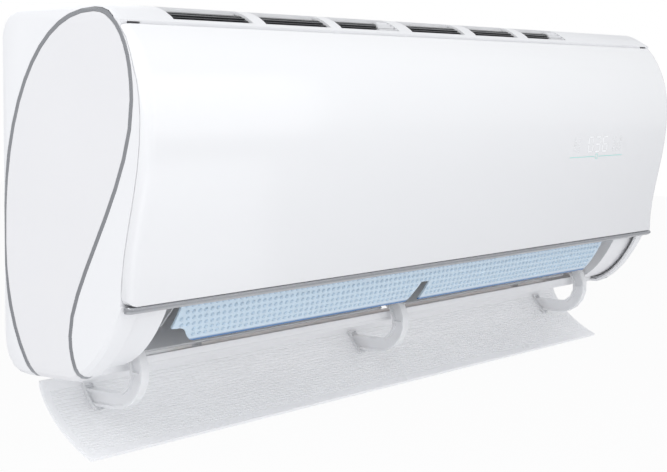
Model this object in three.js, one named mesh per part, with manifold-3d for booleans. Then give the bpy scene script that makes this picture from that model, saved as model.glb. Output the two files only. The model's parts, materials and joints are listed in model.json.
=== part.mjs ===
// Wall-mounted indoor unit of a mini split air conditioner, with its flap open.
// Millimetres. +X runs along the unit to the viewer's right, -Y faces the room, +Z is up.
// The origin is on the wall face, at mid width and mid height of the casing.

import * as THREE from 'three';
import { mergeVertices } from 'three/addons/utils/BufferGeometryUtils.js';
import Module from 'manifold-3d';

const wasm = await Module();
wasm.setup();

// ---------------------------------------------------------------- driving dimensions

// Whole unit
const unitWidth = 1000;
const unitHeight = 335;
const unitDepth = 190;
const seatGap = 0.3;
const runningGap = 0.5;

// Casing
const wallStandoff = 2;
const topCornerRadius = 28;
const footHeight = 40;
const footReach = 34;
const crownReach = 68;
const crownDrop = 15.5;
const crownSetback = 32;
const wallThickness = 3;
const endRounding = 10;
const skinThickness = 3;
const sideWallThickness = 5.8;
const sideFlangeWidth = 16;

// Front cover
const coverTopSetback = 30;
const coverTopDrop = 18.5;
const coverTopLean = 17;
const coverBottomSetback = 24;
const outletHeight = 73;
const bulgeRise = 162;
const coverThickness = 2.6;
const coverReturn = 10;
const coverTopReturn = 4;
const returnTaper = 34;
const coverEndInset = 0.5;
const coverLowerCorner = 9;
const hingeBehindTop = 20;
const hingeAboveTop = 4;
const hingePinRadius = 3;
const hingeLugWidth = 5;
const hingeLugInset = 16;
const hingeLugDrop = 20;
const hingeLegWidth = 6;
const trimHeight = 6;
const trimDepth = 8.5;

// Outlet
const rimFoot = 94;
const rimSetback = 33;
const rimWidth = 22;
const lipSetback = 85;
const lipDepth = 5;
const lipHeight = 10;
const cheekWidth = 48;
const cheekInset = 8;
const cheekWall = 3;

// Top intake
const intakeLeftMargin = 70;
const intakeRightMargin = 220;
const ribCentres = [-311, -191, -68, 60, 176];
const ribWidths = [19, 18, 24, 23, 23];
const intakeLip = 3.5;
const intakeSpan = 27;
const deckSlotWidth = 19;
const deckSlotPitch = 25;
const deckSlotCount = 3;

// Side panel and accent trim
const accentWidth = 3.6;
const accentSetback = 18;
const accentTopDrop = 3.5;
const accentWaist = 95;
const accentWaistHeight = 42;
const accentFoot = 108;

// Fan
const fanFromWall = 82;
const fanBelowMiddle = 22;
const fanRadius = 46;
const fanLeftMargin = 106;
const electricsBay = 159;
const fanDiscCount = 4;
const fanDiscThickness = 2.5;
const fanBladeCount = 15;
const fanBladeChord = 13;
const fanBladeThickness = 1.6;
const shaftRadius = 4;
const scrollClearance = 6;
const scrollStartAngle = 55;
const scrollGrowth = 1.8;
const floorAngle = 39.6;
const floorThickness = 3;
const endPlateThickness = 3;
const endPlateGap = 3;

// Fan motor
const motorRadius = 40;
const motorLength = 44;
const motorGap = 5;
const cradleThickness = 4;
const cradleWidth = 16;

// Evaporator
const slabThickness = 20;
const slabFrontSetback = 49.7;
const slabFootHeight = 107;
const slabBendHeight = 216;
const slabApexReach = 94;
const slabApexHeight = 280;
const rearSlabReach = 70;
const rearSlabFootReach = 30;
const rearSlabFootHeight = 222;
const finGrooveCount = 18;
const finGrooveDepth = 7;
const tubeSheetThickness = 1.6;
const tubeRadius = 3.5;
const bendsPerSlab = 3;

// Flap and its arms
const flapPivotFromWall = 52;
const flapPivotHeight = 28.5;
const flapOpenAngle = 91;
const flapInset = 2;
const flapThickness = 3;
const flapEndGap = 3;
const flapRibCount = 22;
const flapRibDepth = 0.7;
const armFromCheek = 10;
const armThickness = 10;
const armWebThickness = 4;
const armHalfWidth = 7.5;
const armRimWidth = 2.6;
const armArchRadius = 29;
const armArchRise = 20;
const armEyeRadius = 8.5;
const armFootLength = 24;
const armFootThickness = 3;
const flapPinRadius = 4;

// Louver
const louverLeftGap = 21;
const louverRightGap = 30;
const louverThickness = 2;
const louverClearance = 4;
const louverChord = 52;
const louverNotchTop = 16;
const louverNotchFoot = 28;
const louverNotchDepth = 30;
const louverEyeRadius = 3.2;
const louverPinRadius = 2.2;
const louverEarPositions = [-125, 144];
const louverEarThickness = 3;

// Vertical vanes
const vaneCount = 4;
const vanePitch = 90;
const vaneFirst = 80;
const vaneRun = 40;
const vaneLength = 38;
const vaneHeight = 40;
const vaneThickness = 2;
const vanePinRadius = 2;
const vaneSwing = 30;
const linkRadius = 13;
const linkPinRadius = 1.5;
const linkBarWidth = 9.6;
const linkBarThickness = 3;
const linkBarHeight = 12;
const vaneMotorRadius = 10;
const vaneMotorLength = 13;

// Filters
const filterThickness = 3;
const filterNetThickness = 0.9;
const filterClearance = 0.8;
const filterOverlap = 7;
const filterOpeningFoot = 27;
const filterOpeningHead = 62;
const filterLean = 10.5;
const filterBorder = 11;
const filterCentreGap = 16;
const filterRightMargin = 148;
const filterRowCount = 3;
const filterBayCount = 4;
const topFilterDepth = 95;

// Electrics
const boxWidth = 84;
const boxHeight = 160;
const boxDepth = 72;
const boxWall = 2.5;
const boxFootHeight = 118;
const boxBackReach = 74;
const boardThickness = 1.6;
const boardStandoff = 8;
const displayFromEnd = 278;
const displayWidth = 170;
const displayHeight = 44;
const displayMiddle = 21;
const buttonRadius = 4;
const buttonTravel = 1.5;
const buttonFromEnd = 52;
const buttonHeight = 14;

// Pipes
const gasPipeRadius = 6.35;
const liquidPipeRadius = 3.2;
const pipeEnd = -250;
const nutLength = 20;

// Wall plate
const plateThickness = 1.6;
const plateWidth = 760;
const plateHeight = 210;
const plateRise = 14;
const hookWidth = 40;
const hookSpacing = 520;

// ---------------------------------------------------------------- derived places

const top = unitHeight / 2;
const bottom = -unitHeight / 2;
const halfWidth = unitWidth / 2;
const back = -wallStandoff;
const coverTop = top - coverTopDrop;
const coverBottom = bottom + outletHeight;
const coverEnd = halfWidth - coverEndInset;
const rimEnd = halfWidth - rimWidth;
const cheekEnd = rimEnd - cheekWidth;
const ductEnd = cheekEnd - seatGap;
const intakeLeft = -halfWidth + intakeLeftMargin;
const intakeRight = halfWidth - intakeRightMargin;
const fanLeft = -halfWidth + fanLeftMargin;
const fanRight = halfWidth - electricsBay;
const filterRight = halfWidth - filterRightMargin;
const displayLeft = halfWidth - displayFromEnd;
const armSpacing = cheekEnd - armFromCheek;
const louverLeft = -cheekEnd + louverLeftGap;
const louverRight = cheekEnd - louverRightGap;
const wallEnd = halfWidth - sideWallThickness;
const lipFront = -lipSetback;
const fanY = -fanFromWall;
const fanZ = -fanBelowMiddle;
const flapPivotY = -flapPivotFromWall;
const flapPivotZ = bottom + flapPivotHeight;
const floorSlope = THREE.MathUtils.degToRad(floorAngle);
const floorStartY = lipFront + lipDepth + seatGap;
const floorStartZ = bottom + lipHeight + 4.2;

// ---------------------------------------------------------------- small tools

const at = (y, z) => new THREE.Vector2(y, z);
const fromDegrees = THREE.MathUtils.degToRad;

// A local XY outline extruded along local Z comes to lie in the YZ plane, extruded along X.
const alongX = new THREE.Matrix4().makeBasis(
  new THREE.Vector3(0, 1, 0),
  new THREE.Vector3(0, 0, 1),
  new THREE.Vector3(1, 0, 0),
);

function toSolid(geometry) {
  const bare = geometry.clone();
  bare.deleteAttribute('normal');
  bare.deleteAttribute('uv');
  const merged = mergeVertices(bare, 1e-4);
  return new wasm.Manifold(new wasm.Mesh({
    numProp: 3,
    vertProperties: new Float32Array(merged.attributes.position.array),
    triVerts: new Uint32Array(merged.index.array),
  }));
}

function toGeometry(solid) {
  const mesh = solid.getMesh();
  const geometry = new THREE.BufferGeometry();
  geometry.setAttribute('position', new THREE.BufferAttribute(mesh.vertProperties, 3));
  geometry.setIndex(new THREE.BufferAttribute(mesh.triVerts, 1));
  return geometry.toNonIndexed();
}

function join(first, ...others) {
  return others.reduce((sum, piece) => sum.add(piece), first);
}

function cut(body, ...tools) {
  return tools.reduce((rest, tool) => rest.subtract(tool), body);
}

function extrude(outline, depth, holes = []) {
  const shape = new THREE.Shape(outline);
  shape.holes = holes.map((hole) => new THREE.Path(hole));
  return new THREE.ExtrudeGeometry(shape, { depth, bevelEnabled: false, steps: 1 });
}

// A YZ outline as a solid from x = left to x = right.
function slab(outline, left, right, holes = []) {
  const geometry = extrude(outline, right - left, holes).applyMatrix4(alongX);
  return toSolid(geometry.translate(left, 0, 0));
}

function block(left, right, front, rear, low, high) {
  const geometry = new THREE.BoxGeometry(right - left, rear - front, high - low);
  return toSolid(geometry.translate((left + right) / 2, (front + rear) / 2, (low + high) / 2));
}

function rodX(y, z, radius, left, right, sides = 20) {
  const geometry = new THREE.CylinderGeometry(radius, radius, right - left, sides);
  return toSolid(geometry.rotateZ(Math.PI / 2).translate((left + right) / 2, y, z));
}

function rodZ(x, y, radius, low, high, sides = 10) {
  const geometry = new THREE.CylinderGeometry(radius, radius, high - low, sides);
  return toSolid(geometry.rotateX(Math.PI / 2).translate(x, y, (low + high) / 2));
}

function rodY(x, z, radius, front, rear, sides = 16) {
  const geometry = new THREE.CylinderGeometry(radius, radius, rear - front, sides);
  return toSolid(geometry.translate(x, (front + rear) / 2, z));
}

function arc(centre, radius, fromAngle, toAngle, steps) {
  return Array.from({ length: steps + 1 }, (_, i) => {
    const angle = fromDegrees(fromAngle + (toAngle - fromAngle) * i / steps);
    return at(centre.x + radius * Math.cos(angle), centre.y + radius * Math.sin(angle));
  });
}

function normalAt(line, i, closed) {
  const count = line.length;
  const before = closed ? line[(i + count - 1) % count] : line[Math.max(i - 1, 0)];
  const after = closed ? line[(i + 1) % count] : line[Math.min(i + 1, count - 1)];
  const intoPoint = line[i].clone().sub(before).normalize();
  const outOfPoint = after.clone().sub(line[i]).normalize();
  const sum = intoPoint.clone().add(outOfPoint);
  const tangent = sum.clone().normalize();
  const miter = sum.length() / 2 * (intoPoint.lengthSq() && outOfPoint.lengthSq() ? 1 : 2);
  return at(tangent.y, -tangent.x).divideScalar(Math.max(miter, 0.3));
}

// Moves each point of a line to the right of its direction by its own distance.
function offset(line, distance, closed = false) {
  const distances = Array.isArray(distance) ? distance : line.map(() => distance);
  return line.map((p, i) => p.clone().addScaledVector(normalAt(line, i, closed), distances[i]));
}

// The closed outline of a sheet whose one face follows a line and whose other lies to its right.
function sheet(line, thickness) {
  return [...line, ...offset(line, thickness).reverse()];
}

function bezier(p0, p1, p2, p3, steps) {
  return new THREE.CubicBezierCurve(p0, p1, p2, p3).getPoints(steps);
}

function quadratic(p0, p1, p2, steps) {
  return new THREE.QuadraticBezierCurve(p0, p1, p2).getPoints(steps);
}

// A solid through rings of equal point counts, each a YZ loop at its own x, capped at both ends.
function loft(stations) {
  const count = stations[0].loop.length;
  const positions = stations.flatMap(({ x, loop }) => loop.flatMap((p) => [x, p.x, p.y]));
  const faces = [];
  for (let s = 0; s + 1 < stations.length; s += 1) {
    for (let i = 0; i < count; i += 1) {
      const a = s * count + i;
      const b = s * count + (i + 1) % count;
      faces.push(a, b, b + count, a, b + count, a + count);
    }
  }
  [0, stations.length - 1].forEach((s) => {
    const { loop } = stations[s];
    THREE.ShapeUtils.triangulateShape(loop, []).forEach(([i, j, k]) => {
      const forward = THREE.ShapeUtils.area([loop[i], loop[j], loop[k]]) > 0;
      const outward = forward === (s > 0);
      faces.push(...(outward ? [i, j, k] : [k, j, i]).map((n) => n + s * count));
    });
  });
  const geometry = new THREE.BufferGeometry();
  geometry.setAttribute('position', new THREE.Float32BufferAttribute(positions, 3));
  geometry.setIndex(faces);
  return toSolid(geometry);
}

// ---------------------------------------------------------------- shared outlines

// The cover's outer face, from its lower edge up to its top edge.
function frontLine(raise = 0) {
  const lowerHandle = 0.35 * bulgeRise;
  const bulgeZ = coverBottom + bulgeRise;
  const lower = new THREE.CubicBezierCurve(
    at(-unitDepth + coverBottomSetback, coverBottom),
    at(-unitDepth + coverBottomSetback, coverBottom + lowerHandle),
    at(-unitDepth, coverBottom + 0.6 * bulgeRise),
    at(-unitDepth, bulgeZ),
  );
  const upper = bezier(
    at(-unitDepth, bulgeZ),
    at(-unitDepth, bulgeZ + 0.48 * (coverTop - bulgeZ)),
    at(-unitDepth + coverTopSetback - coverTopLean, coverTop - coverTopLean),
    at(-unitDepth + coverTopSetback, coverTop),
    6,
  );
  const start = raise / (3 * lowerHandle);
  const lowerPoints = Array.from({ length: 8 }, (_, i) => lower.getPoint(start + (1 - start) * i / 8));
  return [...lowerPoints, ...upper];
}

// Depth of the cover's turned edge at each point of its front line.
function returnDepths(line) {
  return line.map((p) => {
    const share = THREE.MathUtils.smoothstep(coverTop - p.y, 0, returnTaper);
    return THREE.MathUtils.lerp(coverTopReturn, coverReturn, share);
  });
}

// The casing's front face behind the cover.
const casingSeam = (() => {
  const front = frontLine();
  return offset(front, returnDepths(front).map((depth) => depth + seatGap));
})();

function sheetYAt(z) {
  const upper = casingSeam.findIndex((p) => p.y > z);
  const a = casingSeam[upper - 1];
  const b = casingSeam[upper];
  return THREE.MathUtils.lerp(a.x, b.x, (z - a.y) / (b.y - a.y));
}

// The front edge of the casing's side, from the cover down to the foot of the outlet.
function rimCurve() {
  const startY = -unitDepth + rimSetback;
  const startZ = coverBottom - 1;
  const reach = -rimFoot - startY;
  const drop = startZ - bottom;
  return new THREE.CubicBezierCurve(
    at(startY, startZ),
    at(startY + 0.175 * reach, startZ - 0.41 * drop),
    at(startY + 0.555 * reach, bottom + 0.13 * drop),
    at(-rimFoot, bottom),
  );
}

// The casing's side outline as points with a share of rounding each, anticlockwise seen from +X.
function casingOutline() {
  const front = frontLine();
  const depths = returnDepths(front).map((depth) => depth + seatGap);
  const seam = offset(front, depths).reverse().map((p) => ({ p, soft: 0 }));
  const rim = rimCurve().getPoints(9).map((p, i) => ({ p, soft: Math.min(1, i / 3) }));
  const foot = quadratic(
    at(-footReach, bottom),
    at(back, bottom),
    at(back, bottom + footHeight),
    5,
  ).map((p) => ({ p, soft: 1 }));
  const cornerCentre = at(back - topCornerRadius, top - topCornerRadius);
  const corner = arc(cornerCentre, topCornerRadius, 0, 90, 6).map((p) => ({ p, soft: 1 }));
  const crown = quadratic(
    at(-unitDepth + crownReach, top),
    at(-unitDepth + crownReach - 20, top),
    at(-unitDepth + crownSetback, top - crownDrop),
    5,
  ).map((p, i) => ({ p, soft: [1, 1, 1, 0.8, 0.4, 0][i] }));
  return [...foot, ...corner, ...crown, ...seam, ...rim];
}

function casingRing(inset, rounding) {
  const outline = casingOutline();
  const points = outline.map(({ p }) => p);
  return offset(points, outline.map(({ soft }) => -inset - soft * rounding), true);
}

// The casing's outer form, drawn in by inset, with its ends rounded over.
function casingForm(inset, endInset) {
  const radius = Math.max(endRounding - inset, 1);
  const end = halfWidth - endInset;
  const steps = 3;
  const leftEnd = Array.from({ length: steps + 1 }, (_, k) => {
    const angle = k / steps * Math.PI / 2;
    const rounding = radius * (1 - Math.sin(angle));
    return { x: -end + radius * (1 - Math.cos(angle)), loop: casingRing(inset, rounding) };
  });
  const rightEnd = leftEnd.map(({ x, loop }) => ({ x: -x, loop })).reverse();
  return loft([...leftEnd, ...rightEnd]);
}

// The drop-shaped outline of the accent trim's outer edge, open past the bottom of the casing.
function dropOutline(inset) {
  const waist = at(-accentWaist, bottom + accentWaistHeight);
  const bulge = at(-unitDepth + accentSetback, bottom + 0.75 * unitHeight);
  const crown = at(-unitDepth + crownReach - 2, top - accentTopDrop);
  const rear = at(back - 4, bottom + 0.36 * unitHeight);
  const rearFoot = at(back - 42, bottom + 2);
  const below = bottom - 20;
  const line = [
    at(-accentFoot - 4, below),
    ...bezier(at(-accentFoot, bottom + 2), at(-accentFoot + 7, bottom + 14), at(waist.x, waist.y - 18), waist, 5),
    ...bezier(waist, at(waist.x, waist.y + 48), at(bulge.x, bulge.y - 76), bulge, 9).slice(1),
    ...bezier(bulge, at(bulge.x, bulge.y + 48), at(crown.x - 30, crown.y), crown, 10).slice(1),
    ...bezier(crown, at(crown.x + 66, crown.y), at(rear.x, rear.y + 137), rear, 13).slice(1),
    ...bezier(rear, at(rear.x - 2, bottom + 72), at(back - 18, bottom + 28), rearFoot, 7).slice(1),
    at(rearFoot.x - 10, below),
  ];
  return offset(line, inset);
}

// The flow direction's frame on the duct floor: x across, y up the floor, z square to it.
function onFloor(x, run) {
  const group = new THREE.Group();
  group.position.set(
    x,
    floorStartY + run * Math.cos(floorSlope),
    floorStartZ + run * Math.sin(floorSlope),
  );
  group.rotation.x = floorSlope;
  return group;
}

function placedOnFloor(solid, x, run) {
  const group = onFloor(x, run);
  group.updateMatrix();
  return toSolid(toGeometry(solid).applyMatrix4(group.matrix));
}

// ---------------------------------------------------------------- casing

function intakeBays() {
  const lefts = [intakeLeft, ...ribCentres.map((x, i) => x + ribWidths[i] / 2)];
  const rights = [...ribCentres.map((x, i) => x - ribWidths[i] / 2), intakeRight];
  return lefts.map((left, i) => ({ left, right: rights[i] }));
}

function intakeCuts() {
  const lipY = -unitDepth + crownSetback;
  const slotFront = lipY + intakeLip;
  const slotRear = slotFront + intakeSpan;
  const deckStart = slotRear + 7;
  const cuts = [];
  intakeBays().forEach(({ left, right }) => {
    cuts.push(block(left, right, slotFront, slotRear, top - crownDrop - 14, top + 5));
    for (let i = 0; i < deckSlotCount; i += 1) {
      const front = deckStart + i * deckSlotPitch;
      cuts.push(block(left, right, front, front + deckSlotWidth, top - 20, top + 5));
    }
  });
  return cuts;
}

function filterWindow(left, right) {
  return block(
    left,
    right,
    -unitDepth,
    -unitDepth + coverBottomSetback + coverReturn + 3 * wallThickness,
    coverBottom + filterOpeningFoot,
    top - filterOpeningHead,
  );
}

function filterSpans() {
  return [
    { left: -halfWidth + 42, right: -filterCentreGap / 2 },
    { left: filterCentreGap / 2, right: filterRight },
  ];
}

const hingeY = -unitDepth + coverTopSetback + hingeBehindTop;
const hingeZ = coverTop + hingeAboveTop;
const hingeLugEnd = halfWidth - hingeLugInset;

function hingeBoss(side) {
  const boss = rodX(hingeY, hingeZ, hingePinRadius + 2.8, hingeLugEnd + runningGap, wallEnd + 1);
  const bore = rodX(hingeY, hingeZ, hingePinRadius + seatGap, hingeLugEnd, wallEnd - 2);
  const bored = cut(boss, bore);
  return side > 0 ? bored : bored.mirror([1, 0, 0]);
}

function outletCut() {
  const rim = rimCurve();
  const points = rim.getPoints(10);
  const outer = offset(points, 6);
  const inner = offset(points, -14).reverse();
  const first = points[0];
  const region = [
    at(first.x - 12, first.y),
    ...outer.slice(1, -1),
    at(lipFront, bottom - 6),
    at(lipFront, bottom + lipHeight + 3),
    ...inner.slice(2, -1),
    at(first.x + 14, first.y),
  ];
  return slab(region, -rimEnd, rimEnd);
}

function lipBar() {
  const radius = 3.5;
  const outline = [
    ...arc(at(lipFront + radius, bottom + radius), radius, 270, 180, 3),
    at(lipFront, bottom + lipHeight),
    at(lipFront + lipDepth, bottom + lipHeight),
    at(lipFront + lipDepth, bottom + wallThickness),
    at(lipFront + lipDepth + 10, bottom + wallThickness),
    at(lipFront + lipDepth + 10, bottom),
  ];
  return slab(outline, -rimEnd - 1, rimEnd + 1);
}

// The room inside the casing's walls, drawn in by a gap.
function casingHollow(gap) {
  const end = wallEnd - gap;
  const round = halfWidth - endRounding;
  const step = halfWidth - sideFlangeWidth - gap;
  const thick = casingRing(sideWallThickness + gap, 0);
  const thin = casingRing(wallThickness + gap, 0);
  const leftEnd = [
    { x: -end, loop: casingRing(sideWallThickness + gap, endRounding - sideWallThickness) },
    { x: -round, loop: thick },
    { x: -step, loop: thick },
    { x: -step + 0.5, loop: thin },
  ];
  const rightEnd = leftEnd.map(({ x, loop }) => ({ x: -x, loop })).reverse();
  return loft([...leftEnd, ...rightEnd]);
}

function frontFrame() {
  const shell = cut(casingForm(0, 0), casingHollow(0));
  const opening = halfWidth - sideFlangeWidth;
  const backOpening = block(-opening, opening, -footReach - 4, 5, bottom - 5, top - topCornerRadius - 1);
  const lugNotch = (side) => block(
    side * hingeLugEnd - hingeLugWidth - 3,
    side * hingeLugEnd + hingeLugWidth + 3,
    -unitDepth,
    hingeY + hingeLegWidth + 0.5,
    coverTop - hingeLugDrop - hingeLegWidth - 5,
    coverTop + 2,
  );
  const recess = (side) => {
    const prism = slab(dropOutline(-seatGap), 0, halfWidth + 5);
    const rind = prism.subtract(casingForm(skinThickness + seatGap, skinThickness + seatGap));
    const skin = rind.intersect(block(halfWidth - sideFlangeWidth + 1, halfWidth + 5, -400, 100, -400, 400));
    return side > 0 ? skin : skin.mirror([1, 0, 0]);
  };
  const windows = filterSpans().map(({ left, right }) => filterWindow(left, right));
  const buttonHole = rodY(
    halfWidth - buttonFromEnd,
    coverBottom + buttonHeight,
    buttonRadius + runningGap,
    -unitDepth,
    -unitDepth + 60,
  );
  const open = cut(
    shell,
    backOpening,
    outletCut(),
    lugNotch(1),
    lugNotch(-1),
    buttonHole,
    ...windows,
    ...intakeCuts(),
  );
  const screwHoles = frameScrewPositions.map((x) => (
    rodZ(x, screwY, screwRadius + seatGap, bottom - 1, bottom + wallThickness + 1)
  ));
  return cut(join(open, lipBar(), hingeBoss(1), hingeBoss(-1)), recess(1), recess(-1), ...screwHoles);
}

function sidePanel(side) {
  const form = cut(
    casingForm(0, 0),
    casingForm(skinThickness, skinThickness),
  );
  const area = slab(dropOutline(accentWidth + seatGap), 0, halfWidth + 5);
  const zone = block(halfWidth - sideFlangeWidth + 2, halfWidth + 5, -400, 100, -400, 400);
  const panel = form.intersect(area).intersect(zone);
  return side > 0 ? panel : panel.mirror([1, 0, 0]);
}

function accentTrim(side) {
  const form = cut(
    casingForm(0, 0),
    casingForm(skinThickness, skinThickness),
  );
  const outer = slab(dropOutline(0), 0, halfWidth + 5);
  const inner = slab(dropOutline(accentWidth), -1, halfWidth + 6);
  const zone = block(halfWidth - sideFlangeWidth + 2, halfWidth + 5, -400, 100, -400, 400);
  const trim = form.intersect(cut(outer, inner)).intersect(zone);
  return side > 0 ? trim : trim.mirror([1, 0, 0]);
}

// ---------------------------------------------------------------- cover

function coverStations(half, wall) {
  const steps = 4;
  const leftEnd = Array.from({ length: steps + 1 }, (_, k) => {
    const sine = Math.sin(k / steps * Math.PI / 2);
    const cosine = Math.cos(k / steps * Math.PI / 2);
    const line = frontLine(coverLowerCorner * (1 - sine));
    const depths = returnDepths(line);
    const radii = depths.map((depth) => depth - 1);
    const face = offset(line, radii.map((radius) => wall + (radius - wall) * (1 - sine)));
    const rear = offset(line, depths.map((depth) => depth + (wall ? 2 : 0))).reverse();
    const radius = coverReturn - 1 - wall;
    return { x: -half + radius * (1 - cosine), loop: [...face, ...rear].reverse() };
  });
  const rightEnd = leftEnd.map(({ x, loop }) => ({ x: -x, loop })).reverse();
  return [...leftEnd, ...rightEnd];
}

function hingeLug(side) {
  const legTop = coverTop - hingeLugDrop;
  const outline = [
    at(-unitDepth + coverThickness + 8, legTop - hingeLegWidth),
    at(hingeY + hingeLegWidth / 2 + 2, legTop - hingeLegWidth),
    at(hingeY + hingeLegWidth / 2 + 2, hingeZ),
    ...arc(at(hingeY, hingeZ), hingePinRadius + 0.8, 0, 180, 6),
    at(hingeY - hingePinRadius - 0.8, hingeZ - 4),
    at(hingeY - hingeLegWidth / 2 + 2, legTop),
    at(-unitDepth + coverThickness + 10, legTop),
  ];
  const lug = slab(outline, hingeLugEnd - hingeLugWidth, hingeLugEnd);
  const pin = rodX(hingeY, hingeZ, hingePinRadius, hingeLugEnd - 1, wallEnd - 3);
  const whole = lug.add(pin);
  return side > 0 ? whole : whole.mirror([1, 0, 0]);
}

function frontCover() {
  const outer = loft(coverStations(coverEnd, 0));
  const inner = loft(coverStations(coverEnd - coverThickness, coverThickness));
  const edge = block(
    -coverEnd - 1,
    coverEnd + 1,
    -unitDepth - 1,
    -unitDepth + coverBottomSetback + coverReturn + 8,
    coverBottom - 1,
    coverBottom + coverThickness,
  );
  const headEdge = block(-coverEnd - 1, coverEnd + 1, -unitDepth - 1, 0, coverTop - coverTopReturn, top);
  const hollow = cut(inner, edge, headEdge);
  const reach = frontLine().find((p) => p.y > coverTop - hingeLugDrop - 12);
  const clip = block(-coverEnd, coverEnd, reach.x + 1, 0, -400, 400);
  return join(cut(outer, hollow), hingeLug(1).intersect(clip), hingeLug(-1).intersect(clip));
}

function coverTrim() {
  const steps = 3;
  const frontY = -unitDepth + coverBottomSetback;
  const topZ = coverBottom - seatGap;
  const section = (draw) => [
    at(frontY + draw + 2, topZ - trimHeight),
    at(frontY + trimDepth, topZ - trimHeight + 1),
    at(frontY + trimDepth, topZ),
    at(frontY + draw + 1, topZ),
    at(frontY + draw - 1, topZ - 1.6),
    at(frontY + draw - 1, topZ - trimHeight + 2.2),
  ];
  const leftEnd = Array.from({ length: steps + 1 }, (_, k) => {
    const angle = k / steps * Math.PI / 2;
    const radius = trimDepth - 3;
    return {
      x: -coverEnd + 2 + radius * (1 - Math.cos(angle)),
      loop: section(radius * (1 - Math.sin(angle))),
    };
  });
  const rightEnd = leftEnd.map(({ x, loop }) => ({ x: -x, loop })).reverse();
  return loft([...leftEnd, ...rightEnd]);
}

// ---------------------------------------------------------------- chassis

const scrollEndRadius = (() => {
  const normal = at(Math.sin(floorSlope), -Math.cos(floorSlope));
  return Math.abs(at(fanY - floorStartY, fanZ - floorStartZ).dot(normal));
})();

// The air side of the scroll and floor, from its upper lip down to the outlet.
function scrollLine() {
  const endAngle = floorAngle - 90;
  const steps = 12;
  const spiral = Array.from({ length: steps + 1 }, (_, i) => {
    const share = i / steps;
    const angle = fromDegrees(scrollStartAngle + (endAngle - scrollStartAngle) * share);
    const inner = fanRadius + scrollClearance;
    const radius = inner + (scrollEndRadius - inner) * share ** scrollGrowth;
    return at(fanY + radius * Math.cos(angle), fanZ + radius * Math.sin(angle));
  });
  return [...spiral, at(floorStartY, floorStartZ)];
}

const endPlateLeft = fanLeft - endPlateGap - endPlateThickness;
const endPlateRight = fanRight + endPlateGap;
const motorLeft = endPlateRight + endPlateThickness + motorGap;
const motorRight = motorLeft + motorLength;
const chassisFront = back - seatGap - wallThickness;
const chassisTop = top - topCornerRadius - 4;
const chassisFoot = bottom + footHeight + 8;
const chassisEnd = halfWidth - sideFlangeWidth - 1;
const hookZ = plateRise + plateHeight / 2 - 16;
const screwY = lipFront + 18;
const screwRadius = 2;
const frameScrewX = vaneFirst + (vaneCount - 1.5) * vanePitch;
const frameScrewPositions = [-frameScrewX, frameScrewX];

// A plate at one end of the fan, with a saddle on top for the coil's rear slab.
function fanEndPlate(left, right) {
  const [start, end] = slabEnds().evaporator_rear;
  const along = end.clone().sub(start).normalize();
  const foot = coilOutline(start, end);
  const outline = [
    at(chassisFront + 1, foot[3].y + 6),
    foot[0].addScaledVector(along, -seatGap),
    foot[3].addScaledVector(along, -seatGap),
    at(fanY + 30, fanZ + 49),
    at(fanY - 34, fanZ + 40),
    at(fanY - 27, fanZ - 28),
    at(fanY - 14, fanZ - 50),
    at(chassisFront + 1, fanZ - 56),
  ];
  const cableHole = arc(at(fanY + 64, fanZ + 34), 5, 360, 0, 10).slice(1);
  return slab(outline, left, right, [cableHole]);
}

function hookSlots() {
  return [-1, 1].map((side) => block(
    side * hookSpacing / 2 - hookWidth / 2 - 2,
    side * hookSpacing / 2 + hookWidth / 2 + 2,
    chassisFront - 5,
    back + 1,
    hookZ - 10,
    hookZ + plateThickness + seatGap,
  ));
}

function armSlots() {
  const half = armThickness / 2 + 2;
  const outer = [armSpacing - half, ductEnd + 1];
  const spans = [[-half, half], outer, outer.map((x) => -x).reverse()];
  return spans.map(([left, right]) => block(
    left,
    right,
    floorStartY - 3,
    flapPivotY + armEyeRadius + 3,
    bottom,
    flapPivotZ + 36,
  ));
}

function pivotEars() {
  const inner = armThickness / 2 + 2;
  const ear = (left, right) => {
    const outline = [
      at(flapPivotY - 6, flapPivotZ - 6),
      at(flapPivotY + 6, flapPivotZ - 6),
      at(flapPivotY + 12, floorStartZ + (flapPivotY + 12 - floorStartY) * Math.tan(floorSlope) - 1),
      at(flapPivotY - 8, floorStartZ + (flapPivotY - 8 - floorStartY) * Math.tan(floorSlope) - 1),
    ];
    return slab(outline, left, right);
  };
  return join(ear(inner, inner + 3), ear(-inner - 3, -inner))
    .subtract(rodX(flapPivotY, flapPivotZ, flapPinRadius - 0.9, -inner - 4, inner + 4));
}

function screwBosses() {
  return frameScrewPositions.map((x) => {
    const roof = floorStartZ + (screwY - floorStartY) * Math.tan(floorSlope) - floorThickness / 2;
    const boss = rodZ(x, screwY, 5, bottom + wallThickness + seatGap, roof);
    return boss.subtract(rodZ(x, screwY, screwRadius + 0.2, bottom, bottom + 12));
  });
}

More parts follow.
